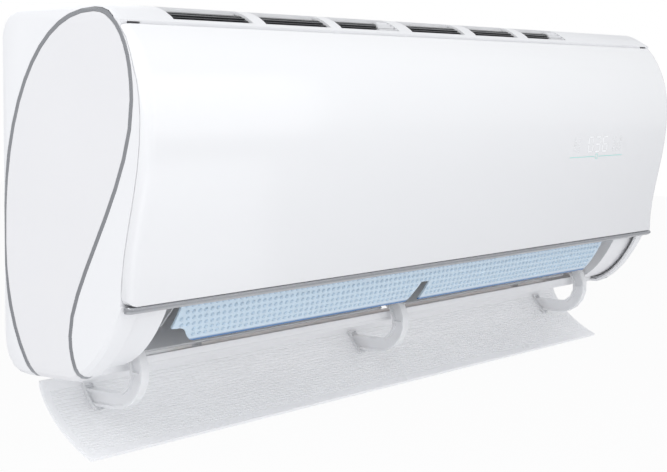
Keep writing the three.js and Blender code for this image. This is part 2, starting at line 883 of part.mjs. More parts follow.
function chassis() {
  const motorBay = block(
    endPlateRight + endPlateThickness,
    ductEnd + 1,
    fanY - motorRadius,
    chassisFront,
    fanZ - motorRadius - 7,
    chassisTop,
  );
  const scroll = slab(sheet(scrollLine().reverse(), floorThickness), -ductEnd, ductEnd).subtract(motorBay);
  const scrollTop = scrollLine()[0];
  const backWall = block(-chassisEnd, chassisEnd, chassisFront, back - seatGap, chassisFoot, chassisTop);
  const gutter = slab([
    at(scrollTop.x - 1, scrollTop.y - 2),
    at(chassisFront + 1, scrollTop.y + 6),
    at(chassisFront + 1, scrollTop.y + 9),
    at(scrollTop.x + 4, scrollTop.y + 1.5),
    at(scrollTop.x + 2, scrollTop.y + 9),
    at(scrollTop.x - 1, scrollTop.y + 9),
  ], -ductEnd, endPlateRight + endPlateThickness);
  const leftPlate = fanEndPlate(endPlateLeft, endPlateLeft + endPlateThickness)
    .subtract(rodX(fanY, fanZ, bearingRadius + seatGap, endPlateLeft - 1, fanLeft, 24));
  const rightPlate = fanEndPlate(endPlateRight, endPlateRight + endPlateThickness)
    .subtract(rodX(fanY, fanZ, 14, fanRight, motorLeft, 24));
  const cradleMiddle = (motorLeft + motorRight) / 2;
  const cradle = slab([
    at(chassisFront + 1, fanZ - 6),
    at(fanY - motorRadius - 6, fanZ - 6),
    at(fanY - motorRadius - 6, fanZ - 24),
    at(fanY - 36, fanZ - 29),
    at(fanY - 24, fanZ - 38),
    at(fanY - 24, fanZ - motorRadius - 8),
    at(chassisFront + 1, fanZ - motorRadius - 8),
  ], cradleMiddle - cradleWidth / 2, cradleMiddle + cradleWidth / 2)
    .subtract(rodX(fanY, fanZ, motorRadius + seatGap, motorLeft, motorRight, 32));
  const bayFloor = block(
    endPlateRight,
    ductEnd,
    fanY - 26,
    chassisFront + 1,
    fanZ - motorRadius - 9,
    fanZ - motorRadius - 6,
  );
  const boxPosts = [-1, 1].map((side) => block(
    boxMiddle + side * 22 - 8,
    boxMiddle + side * 22 + 8,
    -boxBackReach + seatGap,
    chassisFront + 1,
    boxBottom + 104,
    boxBottom + 118,
  ));
  const vaneHoles = vanePositions().map((x) => placedOnFloor(
    rodZ(0, 0, vanePinRadius + 0.4, -8, 4),
    x,
    vaneRun,
  ));
  const body = join(
    scroll,
    backWall,
    gutter,
    leftPlate,
    rightPlate,
    cradle,
    bayFloor,
    ...boxPosts,
    ...screwBosses(),
  );
  return join(cut(body, ...armSlots(), ...hookSlots(), ...vaneHoles), pivotEars());
}

// ---------------------------------------------------------------- outlet

const panWallStart = (() => {
  const p = rimCurve().getPoint(0.02);
  return at(p.x + 12.5, p.y + 3);
})();
const tongueY = fanY - 30;
const tongueZ = fanZ - 43;

const louverAxis = (() => {
  const rim = rimCurve().getPoints(40);
  const reach = flapInset + flapThickness + louverClearance + louverEyeRadius;
  return offset(rim, -reach)[4];
})();

function drainPan() {
  const outline = [
    at(panWallStart.x, panWallStart.y),
    at(tongueY, tongueZ - 1),
    at(tongueY + 1, tongueZ + 2),
    at(tongueY - 8, tongueZ + 12),
    at(tongueY - 11, tongueZ + 12),
    at(tongueY - 9, tongueZ + 3),
    at(panWallStart.x + 8, panWallStart.y + 11),
    at(panWallStart.x - 2, panWallStart.y + 7),
    at(panWallStart.x - 4, panWallStart.y + 17),
    at(panWallStart.x - 7, panWallStart.y + 17),
    at(panWallStart.x - 7, panWallStart.y + 4),
  ];
  const trough = slab(outline, -ductEnd, ductEnd);
  const brackets = louverEarPositions.map((x) => {
    const left = x + louverEarThickness / 2 + runningGap;
    const plate = slab([
      ...arc(louverAxis, louverEyeRadius + 1, 180, 360, 6),
      at(louverAxis.x + louverEyeRadius + 1, panWallStart.y + 6),
      at(louverAxis.x - louverEyeRadius - 1, panWallStart.y + 3),
    ], left, left + louverEarThickness);
    const pin = rodX(louverAxis.x, louverAxis.y, louverPinRadius - 0.6, x - 1.5, left + 1, 12);
    return plate.add(pin);
  });
  return join(trough, ...brackets);
}

function outletCheek(side) {
  const line = offset(rimCurve().getPoints(10), -cheekInset);
  const floorEdge = bottom + wallThickness + seatGap;
  const front = line.filter((p) => p.y < coverBottom - 4 && p.x < lipFront - 2);
  const rearZ = floorStartZ + (flapPivotY + 14 - floorStartY) * Math.tan(floorSlope);
  const outline = [
    at(front[0].x, coverBottom + 10),
    ...front,
    at(lipFront - seatGap, bottom + lipHeight + seatGap),
    at(lipFront + lipDepth + seatGap, bottom + lipHeight + seatGap),
    at(lipFront + lipDepth + seatGap, floorEdge),
    at(-footReach - 3, floorEdge),
    at(-footReach - 3, rearZ),
    at(tongueY + 14, coverBottom + 12),
  ];
  const outer = slab(outline, cheekEnd, wallEnd - seatGap);
  const inner = slab(offset(outline, -cheekWall, true), cheekEnd + cheekWall, wallEnd + 5);
  const hole = (y, z, radius) => rodX(y, z, radius, cheekEnd - 1, cheekEnd + cheekWall + 1);
  const louverHole = hole(louverAxis.x, louverAxis.y, louverPinRadius + 0.5);
  const shell = cut(outer.intersect(casingHollow(seatGap)), inner, louverHole);
  if (side > 0) {
    return shell.subtract(hole(flapPivotY, flapPivotZ, flapPinRadius + 0.6));
  }
  const pin = rodX(flapPivotY, flapPivotZ, flapPinRadius, armSpacing - armThickness / 2, cheekEnd + 1, 24);
  return shell.add(pin).mirror([1, 0, 0]);
}

// ---------------------------------------------------------------- flap

function flapLine(inset, steps) {
  const rim = rimCurve();
  const points = Array.from({ length: steps + 1 }, (_, i) => rim.getPoint(0.02 + 0.98 * i / steps));
  return offset([...points, at(lipFront - 4.5, bottom)], -inset);
}

function flapPanel() {
  const outer = flapLine(flapInset, 10);
  const coarse = flapLine(flapInset + flapThickness, 10).reverse();
  const plain = slab([...outer, ...coarse], -rimEnd + flapEndGap, rimEnd - flapEndGap);
  const lengths = new THREE.Path(flapLine(flapInset + flapThickness, 20));
  const grooves = Array.from({ length: flapRibCount }, (_, i) => {
    const share = 0.1 + 0.8 * (i + 0.5) / flapRibCount;
    const p = lengths.getPointAt(share);
    const tangent = lengths.getTangentAt(share);
    const across = at(tangent.y, -tangent.x);
    const half = 0.8;
    const mouth = p.clone().addScaledVector(across, -0.4);
    return slab([
      mouth.clone().addScaledVector(tangent, -half),
      mouth.clone().addScaledVector(tangent, half),
      p.clone().addScaledVector(across, flapRibDepth),
    ], -rimEnd + flapEndGap + 8, rimEnd - flapEndGap - 8);
  });
  return cut(plain, ...grooves).translate(0, -flapPivotY, -flapPivotZ);
}

// An arm's side outline about its pivot, with the flap shut; margin draws it in all round.
function armOutline(margin) {
  const half = armHalfWidth - margin;
  const centre = at(-armArchRadius, armArchRise);
  const legFoot = armLegFoot + margin;
  return [
    at(half, 0),
    ...arc(centre, armArchRadius + half, 0, 180, 9),
    at(-2 * armArchRadius - half, legFoot),
    at(-2 * armArchRadius + half, legFoot),
    ...arc(centre, armArchRadius - half, 180, 0, 7),
    at(-half, 0),
  ];
}

const flapInnerLine = flapLine(flapInset + flapThickness + seatGap, 24)
  .map((p) => at(p.x - flapPivotY, p.y - flapPivotZ));
const armLegFoot = flapInnerLine.reduce((best, p) => (
  Math.abs(p.x + 2 * armArchRadius) < Math.abs(best.x + 2 * armArchRadius) ? p : best
)).y - armHalfWidth;

function flapArm() {
  const half = armThickness / 2;
  const web = armWebThickness / 2;
  const beyondFlap = slab([
    ...flapInnerLine,
    at(flapInnerLine.at(-1).x, -3 * armArchRadius),
    at(-5 * armArchRadius, -3 * armArchRadius),
    at(-5 * armArchRadius, flapInnerLine[0].y),
  ], -armThickness, armThickness);
  const body = slab(armOutline(0), -half, half).subtract(beyondFlap);
  const eye = rodX(0, 0, armEyeRadius, -half, half, 20);
  const bore = rodX(0, 0, flapPinRadius + 0.35, -half - 1, half + 1, 20);
  const pocketOutline = armOutline(armRimWidth).filter((p) => p.y > armEyeRadius || p.x < -armArchRadius);
  const rib = block(-half, half, -armArchRadius - 1, -armArchRadius + 1, armArchRise, armArchRise + 60);
  const pocket = slab(pocketOutline, web, half + 1).subtract(rib);
  const foot = armFoot();
  return cut(join(body, eye, foot), pocket, pocket.mirror([1, 0, 0]), bore);
}

// The foot that lies on the flap's inner face, with a row of slots through it.
function armFoot() {
  const centreY = -2 * armArchRadius;
  const line = flapInnerLine.filter((p) => Math.abs(p.x - centreY) < armFootLength / 2);
  const plate = slab(sheet(line.reverse(), armFootThickness), -armThickness / 2 - 2, armThickness / 2 + 2);
  const slots = [-1, 1].flatMap((side) => [0.62, 0.85].map((share) => block(
    -armThickness / 2,
    armThickness / 2,
    centreY + side * share * armFootLength / 2 - 1.1,
    centreY + side * share * armFootLength / 2 + 1.1,
    flapInnerLine[0].y - 200,
    flapInnerLine[0].y + 200,
  )));
  return cut(plate, ...slots);
}

// ---------------------------------------------------------------- louver

// The louver hangs from its axis and follows the inside of the shut flap.
function louverPanel() {
  const rim = rimCurve().getPoints(40);
  const facing = offset(rim, -(flapInset + flapThickness + louverClearance)).slice(4);
  const line = [facing[0]];
  let length = 0;
  for (let i = 2; i < facing.length && length < louverChord; i += 2) {
    length += facing[i].distanceTo(facing[i - 2]);
    line.push(facing[i]);
  }
  const plate = slab(sheet(line.reverse(), louverThickness), louverLeft, louverRight);
  const head = rodX(louverAxis.x, louverAxis.y, louverEyeRadius, louverLeft, louverRight, 12);
  const tilt = Math.atan2(line[0].y - line.at(-1).y, line[0].x - line.at(-1).x);
  const foot = line[0].distanceTo(line.at(-1));
  const across = (outline) => {
    const tool = toSolid(extrude(outline, 60).translate(0, 0, -30));
    const place = new THREE.Matrix4().makeBasis(
      new THREE.Vector3(1, 0, 0),
      new THREE.Vector3(0, Math.cos(tilt), Math.sin(tilt)),
      new THREE.Vector3(0, -Math.sin(tilt), Math.cos(tilt)),
    ).setPosition(0, line.at(-1).x, line.at(-1).y);
    return toSolid(toGeometry(tool).applyMatrix4(place));
  };
  const notch = across([
    at(-louverNotchTop / 2, foot - louverNotchDepth),
    at(louverNotchTop / 2, foot - louverNotchDepth),
    at(louverNotchFoot / 2, foot + 10),
    at(-louverNotchFoot / 2, foot + 10),
  ]);
  const corner = across([
    at(louverLeft - 5, 0.55 * foot),
    at(louverLeft + 6, 0.58 * foot),
    ...bezier(
      at(louverLeft + 12, 0.58 * foot),
      at(louverLeft + 26, 0.6 * foot),
      at(louverLeft + 28, 0.97 * foot),
      at(louverLeft + 50, foot + 1),
      5,
    ),
    at(louverLeft + 50, foot + 10),
    at(louverLeft - 5, foot + 10),
  ]);
  const ears = louverEarPositions.map((x) => (
    rodX(louverAxis.x, louverAxis.y, louverEyeRadius + 2, x - louverEarThickness / 2, x + louverEarThickness / 2, 14)
  ));
  const clearances = louverEarPositions.map((x) => rodX(
    louverAxis.x,
    louverAxis.y,
    louverEyeRadius + 2.4,
    x + louverEarThickness / 2,
    x + louverEarThickness * 1.5 + 2 * runningGap,
    14,
  ));
  const bores = louverEarPositions.map((x) => rodX(
    louverAxis.x,
    louverAxis.y,
    louverPinRadius - 0.25,
    x - louverEarThickness / 2 - 1,
    x + louverEarThickness / 2 + 1,
    14,
  ));
  const pins = [
    rodX(louverAxis.x, louverAxis.y, louverPinRadius, -cheekEnd - 2, louverLeft + 4, 14),
    rodX(louverAxis.x, louverAxis.y, louverPinRadius, louverRight - 4, cheekEnd + cheekWall - 0.5, 14),
  ];
  return cut(join(cut(join(plate, head), notch, corner, ...clearances), ...ears, ...pins), ...bores);
}

// ---------------------------------------------------------------- vanes

function vanePositions() {
  return [-1, 1].flatMap((side) => (
    Array.from({ length: vaneCount }, (_, i) => side * (vaneFirst + i * vanePitch))
  ));
}

// One vane about its pin: y up the floor, z square to the floor.
function vane() {
  const half = vaneLength / 2;
  const notchStart = linkRadius - linkBarWidth / 2 - 1.6;
  const notchLow = linkBarHeight - linkBarThickness / 2 - 2;
  const notchHigh = linkBarHeight + linkBarThickness / 2 + 2;
  const outline = [
    at(-half + 4, 0.5),
    at(half, 0.5),
    at(half, notchLow),
    at(notchStart, notchLow),
    at(notchStart, notchHigh),
    at(half - 0.5, notchHigh),
    ...arc(at(half - 9, vaneHeight - 8), 8, 0, 90, 4),
    ...arc(at(-half + 9, vaneHeight - 6), 6, 90, 180, 3),
  ];
  const plate = slab(outline, -vaneThickness / 2, vaneThickness / 2);
  const pin = rodZ(0, 0, vanePinRadius, -floorThickness - 1, 3);
  const collar = rodZ(0, 0, vanePinRadius + 1.5, 0.5, 3);
  const linkPin = rodZ(0, linkRadius, linkPinRadius, notchLow - 1, notchHigh + 1, 8);
  return join(plate, pin, collar, linkPin);
}

function linkBar(side) {
  const first = side * vaneFirst;
  const last = side * (vaneFirst + (vaneCount - 1) * vanePitch);
  const low = Math.min(first, last) - 8;
  const high = Math.max(first, last) + 8;
  const slotRear = linkRadius + linkPinRadius + 0.5;
  const slotFront = linkRadius * Math.cos(fromDegrees(vaneSwing)) - linkPinRadius - 0.5;
  const bar = block(
    low,
    high,
    slotFront - 1.5,
    slotRear + 2,
    linkBarHeight - linkBarThickness / 2,
    linkBarHeight + linkBarThickness / 2,
  );
  const slots = Array.from({ length: vaneCount }, (_, i) => {
    const x = side * (vaneFirst + i * vanePitch);
    return block(x - linkPinRadius - 0.6, x + linkPinRadius + 0.6, slotFront, slotRear, 0, 30);
  });
  return cut(bar, ...slots);
}

function vaneMotor() {
  const body = rodZ(0, 0, vaneMotorRadius, -floorThickness - 1.6 - vaneMotorLength, -floorThickness - 1.6, 20);
  const ears = block(-15, 15, -3.5, 3.5, -floorThickness - 1.6 - 1.4, -floorThickness - seatGap);
  return join(body, ears).subtract(rodZ(0, 0, vanePinRadius + 0.4, -floorThickness - 3, 0));
}

// ---------------------------------------------------------------- fan

const bearingRadius = 11;

function impeller() {
  const length = fanRight - fanLeft;
  const rimInner = fanRadius - fanBladeChord - 2;
  const ring = (left, right) => slab(
    arc(at(0, 0), fanRadius, 0, 360, 30).slice(1),
    left,
    right,
    [arc(at(0, 0), rimInner, 0, 360, 24).slice(1)],
  );
  const discs = Array.from({ length: fanDiscCount }, (_, i) => {
    const left = fanLeft + (length - fanDiscThickness) * i / (fanDiscCount - 1);
    return ring(left, left + fanDiscThickness);
  });
  const bladeOutline = (() => {
    const inner = at(fanRadius - fanBladeChord - 0.5, 0);
    const outer = at(fanRadius - 1, 5);
    const middle = at((inner.x + outer.x) / 2 + 0.4, 0.2);
    return sheet(quadratic(inner, middle, outer, 2), -fanBladeThickness);
  })();
  const blades = Array.from({ length: fanBladeCount }, (_, i) => {
    const turn = i / fanBladeCount * 2 * Math.PI;
    const outline = bladeOutline.map((p) => p.clone().rotateAround(at(0, 0), turn));
    return slab(outline, fanLeft + 0.5, fanRight - 0.5);
  });
  const hub = (left, right, bore) => cut(
    rodX(0, 0, rimInner + 2, left, left + fanDiscThickness, 24).add(rodX(0, 0, 9, left, right, 16)),
    rodX(0, 0, bore, left - 1, right + 1, 24),
  );
  const leftHub = hub(fanLeft, fanLeft + 14, shaftRadius + seatGap);
  const rightHub = hub(fanLeft, fanLeft + 22, shaftRadius + seatGap).mirror([1, 0, 0])
    .translate(fanLeft + fanRight, 0, 0);
  return join(leftHub, rightHub, ...discs, ...blades).translate(0, fanY, fanZ);
}

function fanBearing() {
  const left = endPlateLeft - 5;
  const sleeve = rodX(fanY, fanZ, bearingRadius, left, endPlateLeft + endPlateThickness, 24);
  const flange = rodX(fanY, fanZ, bearingRadius + 4, left, endPlateLeft - seatGap, 24);
  return cut(join(sleeve, flange), rodX(fanY, fanZ, shaftRadius + 0.15, left - 1, fanLeft, 24));
}

function fanMotor() {
  const profile = [
    at(0, 0),
    at(motorRadius - 9, 0),
    at(motorRadius, 6),
    at(motorRadius, motorLength - 6),
    at(motorRadius - 9, motorLength),
    at(0, motorLength),
  ];
  const geometry = new THREE.LatheGeometry(profile, 28).rotateZ(-Math.PI / 2).translate(motorLeft, fanY, fanZ);
  return toSolid(geometry).subtract(rodX(fanY, fanZ, shaftRadius + seatGap, motorLeft - 1, motorLeft + 14, 24));
}

function motorClamp() {
  const inner = motorRadius + seatGap;
  const outer = inner + cradleThickness;
  const middle = (motorLeft + motorRight) / 2;
  const footZ = fanZ - 6 + seatGap;
  const strap = slab([
    at(fanY + outer + 6, footZ),
    at(fanY + outer + 6, footZ + 3),
    at(fanY + outer, footZ + 3),
    ...arc(at(fanY, fanZ), outer, 4, 176, 14),
    at(fanY - outer, footZ + 3),
    at(fanY - outer - 1.5, footZ + 3),
    at(fanY - outer - 1.5, footZ),
    at(fanY - Math.sqrt(inner ** 2 - (footZ - fanZ) ** 2), footZ),
    ...arc(at(fanY, fanZ), inner, 176, 4, 14),
    at(fanY + Math.sqrt(inner ** 2 - (footZ - fanZ) ** 2), footZ),
  ], middle - cradleWidth / 2, middle + cradleWidth / 2);
  return strap;
}

// ---------------------------------------------------------------- evaporator

const coilLeft = endPlateLeft;
const coilRight = endPlateRight + endPlateThickness;
const slabY = -unitDepth + slabFrontSetback;

function slabEnds() {
  const foot = at(slabY, bottom + slabFootHeight);
  const bend = at(slabY, bottom + slabBendHeight);
  const apex = at(-slabApexReach, bottom + slabApexHeight);
  const rearApex = at(-rearSlabReach, bottom + slabApexHeight);
  const rearFoot = at(-rearSlabFootReach, bottom + rearSlabFootHeight);
  return {
    evaporator_front_lower: [foot, bend],
    evaporator_front_upper: [at(bend.x + 1, bend.y + 9), apex],
    evaporator_rear: [rearFoot, rearApex],
  };
}

function coilOutline(start, end) {
  const along = end.clone().sub(start).normalize();
  const across = at(along.y, -along.x).multiplyScalar(slabThickness / 2);
  return [
    start.clone().add(across),
    end.clone().add(across),
    end.clone().sub(across),
    start.clone().sub(across),
  ];
}

function evaporatorSlab(start, end, outward) {
  const outline = coilOutline(start, end);
  const body = slab(outline, coilLeft, coilRight);
  const along = end.clone().sub(start).normalize();
  const across = at(along.y, -along.x).multiplyScalar(outward);
  const face = slabThickness / 2;
  const groove = [
    start.clone().addScaledVector(along, 2).addScaledVector(across, face - finGrooveDepth),
    end.clone().addScaledVector(along, -2).addScaledVector(across, face - finGrooveDepth),
    end.clone().addScaledVector(along, 1).addScaledVector(across, face + 2),
    start.clone().addScaledVector(along, -1).addScaledVector(across, face + 2),
  ];
  const pitch = (coilRight - coilLeft) / (finGrooveCount + 1);
  const grooves = Array.from({ length: finGrooveCount }, (_, i) => {
    const middle = coilLeft + pitch * (i + 1);
    return slab(groove, middle - pitch * 0.3, middle + pitch * 0.3);
  });
  return cut(body, ...grooves);
}

// One end plate for all three slabs, with the stubs of the return bends on its outer side.
function tubeSheet(side) {
  const { evaporator_front_lower: low, evaporator_front_upper: high, evaporator_rear: rear } = slabEnds();
  const inner = side < 0 ? -coilLeft + seatGap : coilRight + seatGap;
  const outer = inner + tubeSheetThickness;
  const plates = [low, high, rear].map(([start, end]) => slab(coilOutline(start, end), inner, outer));
  const reach = slabThickness / 2;
  const bridge = slab([
    at(low[1].x - reach, low[1].y - 2),
    at(low[1].x + reach, low[1].y - 2),
    at(high[0].x + reach, high[0].y + 3),
    at(high[0].x - reach, high[0].y + 3),
  ], inner, outer);
  const crown = slab([
    at(high[1].x + 2, high[1].y - 6),
    at(rear[1].x - 2, rear[1].y - 6),
    at(rear[1].x - 2, rear[1].y + 4),
    at(high[1].x + 2, high[1].y + 4),
  ], inner, outer);
  const bent = side < 0 ? [low, high, rear] : [low, high];
  const bends = bent.flatMap(([start, end]) => returnBends(start, end, outer));
  const whole = join(plates[0], plates[1], plates[2], bridge, crown, ...bends);
  return side > 0 ? whole : whole.mirror([1, 0, 0]);
}

function returnBends(start, end, outer) {
  const along = end.clone().sub(start);
  const radius = along.length() / (2 * bendsPerSlab) / 2;
  const direction = along.clone().normalize();
  return Array.from({ length: bendsPerSlab }, (_, i) => {
    const middle = start.clone().addScaledVector(along, (i + 0.5) / bendsPerSlab);
    const ring = new THREE.TorusGeometry(radius, tubeRadius, 6, 4, Math.PI);
    const place = new THREE.Matrix4().makeBasis(
      new THREE.Vector3(0, direction.x, direction.y),
      new THREE.Vector3(1, 0, 0),
      new THREE.Vector3(0, direction.y, -direction.x),
    ).setPosition(outer - 0.5, middle.x, middle.y);
    return toSolid(capTorus(ring, 6, 4).applyMatrix4(place));
  });
}

// Closes the two open ends of a part ring with fans about their centres.
function capTorus(ring, radialSegments, tubularSegments) {
  const bare = ring.clone();
  const { radius } = ring.parameters;
  const positions = Array.from(bare.attributes.position.array);
  const faces = Array.from(bare.index.array);
  [0, tubularSegments].forEach((segment) => {
    const centre = positions.length / 3;
    positions.push(segment ? -radius : radius, 0, 0);
    for (let j = 0; j < radialSegments; j += 1) {
      const a = j * (tubularSegments + 1) + segment;
      const b = (j + 1) * (tubularSegments + 1) + segment;
      faces.push(...(segment ? [b, a, centre] : [a, b, centre]));
    }
  });
  const closed = new THREE.BufferGeometry();
  closed.setAttribute('position', new THREE.Float32BufferAttribute(positions, 3));
  closed.setIndex(faces);
  return closed;
}

// ---------------------------------------------------------------- filters

// A flat framed net that stands behind its window, with a shallow pocket for each cell.
function frontFilter({ left, right }) {
  const low = coverBottom + filterOpeningFoot - filterOverlap;
  const high = top - filterOpeningHead + filterOverlap;
  const foot = at(sheetYAt(low) + wallThickness + filterClearance, low);
  const head = at(foot.x - filterLean, high);
  const body = slab(sheet([foot, head], filterThickness), left - filterOverlap, right + filterOverlap);
  const hollow = sheet(offset([foot, head], filterNetThickness), filterThickness + 4);
  const rowHeight = (high - low - 2 * filterBorder) / filterRowCount;
  const bayWidth = (right - left - filterBorder) / filterBayCount;
  const cells = [];
  for (let row = 0; row < filterRowCount; row += 1) {
    for (let bay = 0; bay < filterBayCount; bay += 1) {
      const x = left + filterBorder / 2 + bay * bayWidth;
      const z = low + filterBorder + row * rowHeight;
      cells.push(block(x + 1.5, x + bayWidth - 1.5, -400, 0, z + 1.5, z + rowHeight - 1.5));
    }
  }
  const pockets = slab(hollow, left, right);
  return cut(body, ...cells.map((cell) => cell.intersect(pockets)));
}

function topFilter() {
  const outline = casingRing(wallThickness + filterClearance, 0);
  const line = outline.filter((p) => (
    p.y > top - crownDrop - wallThickness - 4 && p.x > -unitDepth + crownSetback + 4 && p.x < -topFilterDepth / 2
  ));
  const body = slab(sheet(line, -filterThickness), intakeLeft - filterOverlap, intakeRight + filterOverlap);
  const shallow = sheet(offset(line, -filterNetThickness), -filterThickness - 3);
  const pockets = intakeBays().map(({ left, right }) => slab(shallow, left + 3, right - 3).intersect(block(
    left,
    right,
    line.at(-1).x + 8,
    line[0].x - 8,
    0,
    top,
  )));
  return cut(body, ...pockets);
}

// ---------------------------------------------------------------- electrics

const boxMiddle = (motorRight + wallEnd) / 2 + 2;
const boxBottom = bottom + boxFootHeight;
const boxTop = boxBottom + boxHeight;
const boxRear = -boxBackReach;
const boxFront = boxRear - boxDepth;

function electricBox() {
  const left = boxMiddle - boxWidth / 2;
  const right = boxMiddle + boxWidth / 2;
  const outer = block(left, right, boxFront, boxRear, boxBottom, boxTop);
  const hollow = block(
    left + boxWall,
    right - boxWall,
    boxFront - 1,
    boxRear - boxWall,
    boxBottom + boxWall,
    boxTop - boxWall,
  );
  const posts = [-1, 1].map((side) => block(
    boxMiddle + side * 28 - 3,
    boxMiddle + side * 28 + 3,
    boxRear - boxWall - boardStandoff,
    boxRear - 1,
    boxBottom + 60,
    boxBottom + 90,
  ));
  return join(cut(outer, hollow), ...posts);
}

function electricBoxLid() {
  const left = boxMiddle - boxWidth / 2;
  const right = boxMiddle + boxWidth / 2;
  const plate = block(left, right, boxFront - seatGap - 2, boxFront - seatGap, boxBottom, boxTop);
  const vents = Array.from({ length: 6 }, (_, i) => block(
    left + 14,
    right - 14,
    boxFront - 10,
    boxFront + 5,
    boxTop - 20 - i * 9,
    boxTop - 16 - i * 9,
  ));
  return cut(plate, ...vents);
}

function controlBoard() {
  const rear = boxRear - boxWall - boardStandoff - seatGap;
  const half = boxWidth / 2 - boxWall - 3;
  const plate = block(
    boxMiddle - half,
    boxMiddle + half,
    rear - boardThickness,
    rear,
    boxBottom + 10,
    boxTop - 10,
  );
  const raised = rear - boardThickness + 0.5;
  const transformer = block(boxMiddle - 26, boxMiddle + 4, raised - 26, raised, boxBottom + 22, boxBottom + 52);
  const relay = block(boxMiddle + 12, boxMiddle + 28, raised - 15, raised, boxBottom + 26, boxBottom + 46);
  const chip = block(boxMiddle - 10, boxMiddle + 10, raised - 3, raised, boxBottom + 84, boxBottom + 104);
  const capacitors = [0, 1, 2].map((i) => rodY(boxMiddle - 22 + i * 20, boxTop - 30, 6, raised - 22, raised, 10));
  return join(plate, transformer, relay, chip, ...capacitors);
}

function terminalBlock() {
  const high = boxBottom - seatGap;
  const low = high - 16;
  const front = boxRear - 21;
  const body = block(boxMiddle - 34, boxMiddle + 34, front, front + 20, low, high);
  const pockets = Array.from({ length: 5 }, (_, i) => block(
    boxMiddle - 30 + i * 12.4,
    boxMiddle - 20 + i * 12.4,
    front - 1,
    front + 12,
    low + 4,
    high - 3,
  ));
  return cut(body, ...pockets);
}

// The board stands along the leaning sheet behind the cover.
function displayBoard() {
  const low = displayMiddle - displayHeight / 2;
  const foot = at(sheetYAt(low) - 4 * seatGap, low);
  const head = at(sheetYAt(low + displayHeight) - 4 * seatGap, low + displayHeight);
  const raised = (from, to, left, right, height) => {
    const line = [foot.clone().lerp(head, from), foot.clone().lerp(head, to)];
    return slab(sheet(line, -boardThickness - height), displayLeft + left, displayLeft + right);
  };
  const plate = raised(0, 1, 0, displayWidth, 0);
  const digits = [0, 1, 2].map((i) => raised(0.34, 0.86, 58 + i * 20, 73 + i * 20, 1.4));
  const bar = raised(0.1, 0.2, 10, displayWidth - 10, 1.4);
  return join(plate, bar, ...digits);
}

function emergencyButton() {
  const z = coverBottom + buttonHeight;
  const face = sheetYAt(z);
  const stem = rodY(halfWidth - buttonFromEnd, z, buttonRadius, face - 1.2, face + wallThickness + 4, 20);
  const flange = rodY(
    halfWidth - buttonFromEnd,
    z,
    buttonRadius + 2,
    face + wallThickness + 1.1,
    face + wallThickness + 2.4,
    20,
  );
  return join(stem, flange);
}

// ---------------------------------------------------------------- motors of the outlet

function flapMotor() {
  const left = cheekEnd + cheekWall + seatGap;
  const body = rodX(flapPivotY, flapPivotZ, 9.5, left, left + 18, 24);
  const ears = slab([
    at(flapPivotY - 16, flapPivotZ - 3),
    at(flapPivotY + 10, flapPivotZ - 3),
    at(flapPivotY + 10, flapPivotZ + 3),
    at(flapPivotY - 16, flapPivotZ + 3),
  ], left, left + 2);
  const shaft = rodX(flapPivotY, flapPivotZ, flapPinRadius, armSpacing - armThickness / 2, left + 1, 24);
  return join(body, ears, shaft);
}

function louverMotor() {
  const left = cheekEnd + cheekWall + seatGap;
  const radius = 9;
  const y = louverAxis.x + 16;
  const z = louverAxis.y - 5;
  const body = rodX(y, z, radius, left, left + 16, 24);
  const ears = slab([at(y - 2, z - 14), at(y + 12, z - 14), at(y + 12, z + 8), at(y - 2, z + 8)], left, left + 2);
  return join(body, ears);
}

// ---------------------------------------------------------------- pipes and small pieces

function pipe(points, radius, sides) {
  const places = points.map(([x, y, z]) => new THREE.Vector3(x, y, z));
  const path = new THREE.CatmullRomCurve3(places, false, 'catmullrom', 0.3);
  const section = Array.from({ length: sides }, (_, i) => {
    const angle = (i + 0.5) / sides * 2 * Math.PI;
    return at(radius * Math.cos(angle), radius * Math.sin(angle));
  });
  const geometry = new THREE.ExtrudeGeometry(new THREE.Shape(section), { steps: 18, extrudePath: path });
  return toSolid(geometry);
}

const gasPipeY = chassisFront - 4 - gasPipeRadius;
const gasPipeZ = bottom + footHeight - 2;
const liquidPipeY = chassisFront - 7 - liquidPipeRadius;
const liquidPipeZ = bottom + footHeight / 2 + 1;

// Where a pipe leaves the right end of the rear slab.
function pipeStart(share) {
  const [foot, apex] = slabEnds().evaporator_rear;
  const p = foot.clone().lerp(apex, share);
  return [coilRight + tubeSheetThickness + 2 * seatGap, p.x, p.y];
}

function gasPipe() {
  const drop = ductEnd + 24;
  const [x, y, z] = pipeStart(0.3);
  return pipe([
    [x, y, z],
    [x + 24, y, z],
    [motorRight + 5, gasPipeY - 12, fanZ + 66],
    [drop - 22, gasPipeY - 4, fanZ + 40],
    [drop, gasPipeY, fanZ - 6],
    [drop, gasPipeY, gasPipeZ + 34],
    [drop - 12, gasPipeY, gasPipeZ + 6],
    [drop - 40, gasPipeY, gasPipeZ],
    [0, gasPipeY, gasPipeZ],
    [pipeEnd, gasPipeY, gasPipeZ],
  ], gasPipeRadius, 8);
}

function liquidPipe() {
  const drop = ductEnd + 40;
  const [x, y, z] = pipeStart(0.72);
  return pipe([
    [x, y, z],
    [x + 24, y, z],
    [motorRight + 8, gasPipeY - 24, fanZ + 70],
    [drop - 38, gasPipeY - 18, fanZ + 52],
    [drop - 4, gasPipeY - 4, fanZ + 16],
    [drop, liquidPipeY, fanZ - 40],
    [drop, liquidPipeY, liquidPipeZ + 34],
    [drop - 10, liquidPipeY, liquidPipeZ + 5],
    [drop - 40, liquidPipeY, liquidPipeZ],
    [0, liquidPipeY, liquidPipeZ],
    [pipeEnd - 18, liquidPipeY, liquidPipeZ],
  ], liquidPipeRadius, 6);
}

function flareNut(y, z, end, pipeRadius) {
  const across = pipeRadius * 1.75;
  const hexagon = rodX(y, z, across, end - nutLength - seatGap, end - seatGap, 6);
  return hexagon.subtract(rodX(y, z, pipeRadius * 0.8, end - nutLength - 1, end - nutLength + 12, 12));
}

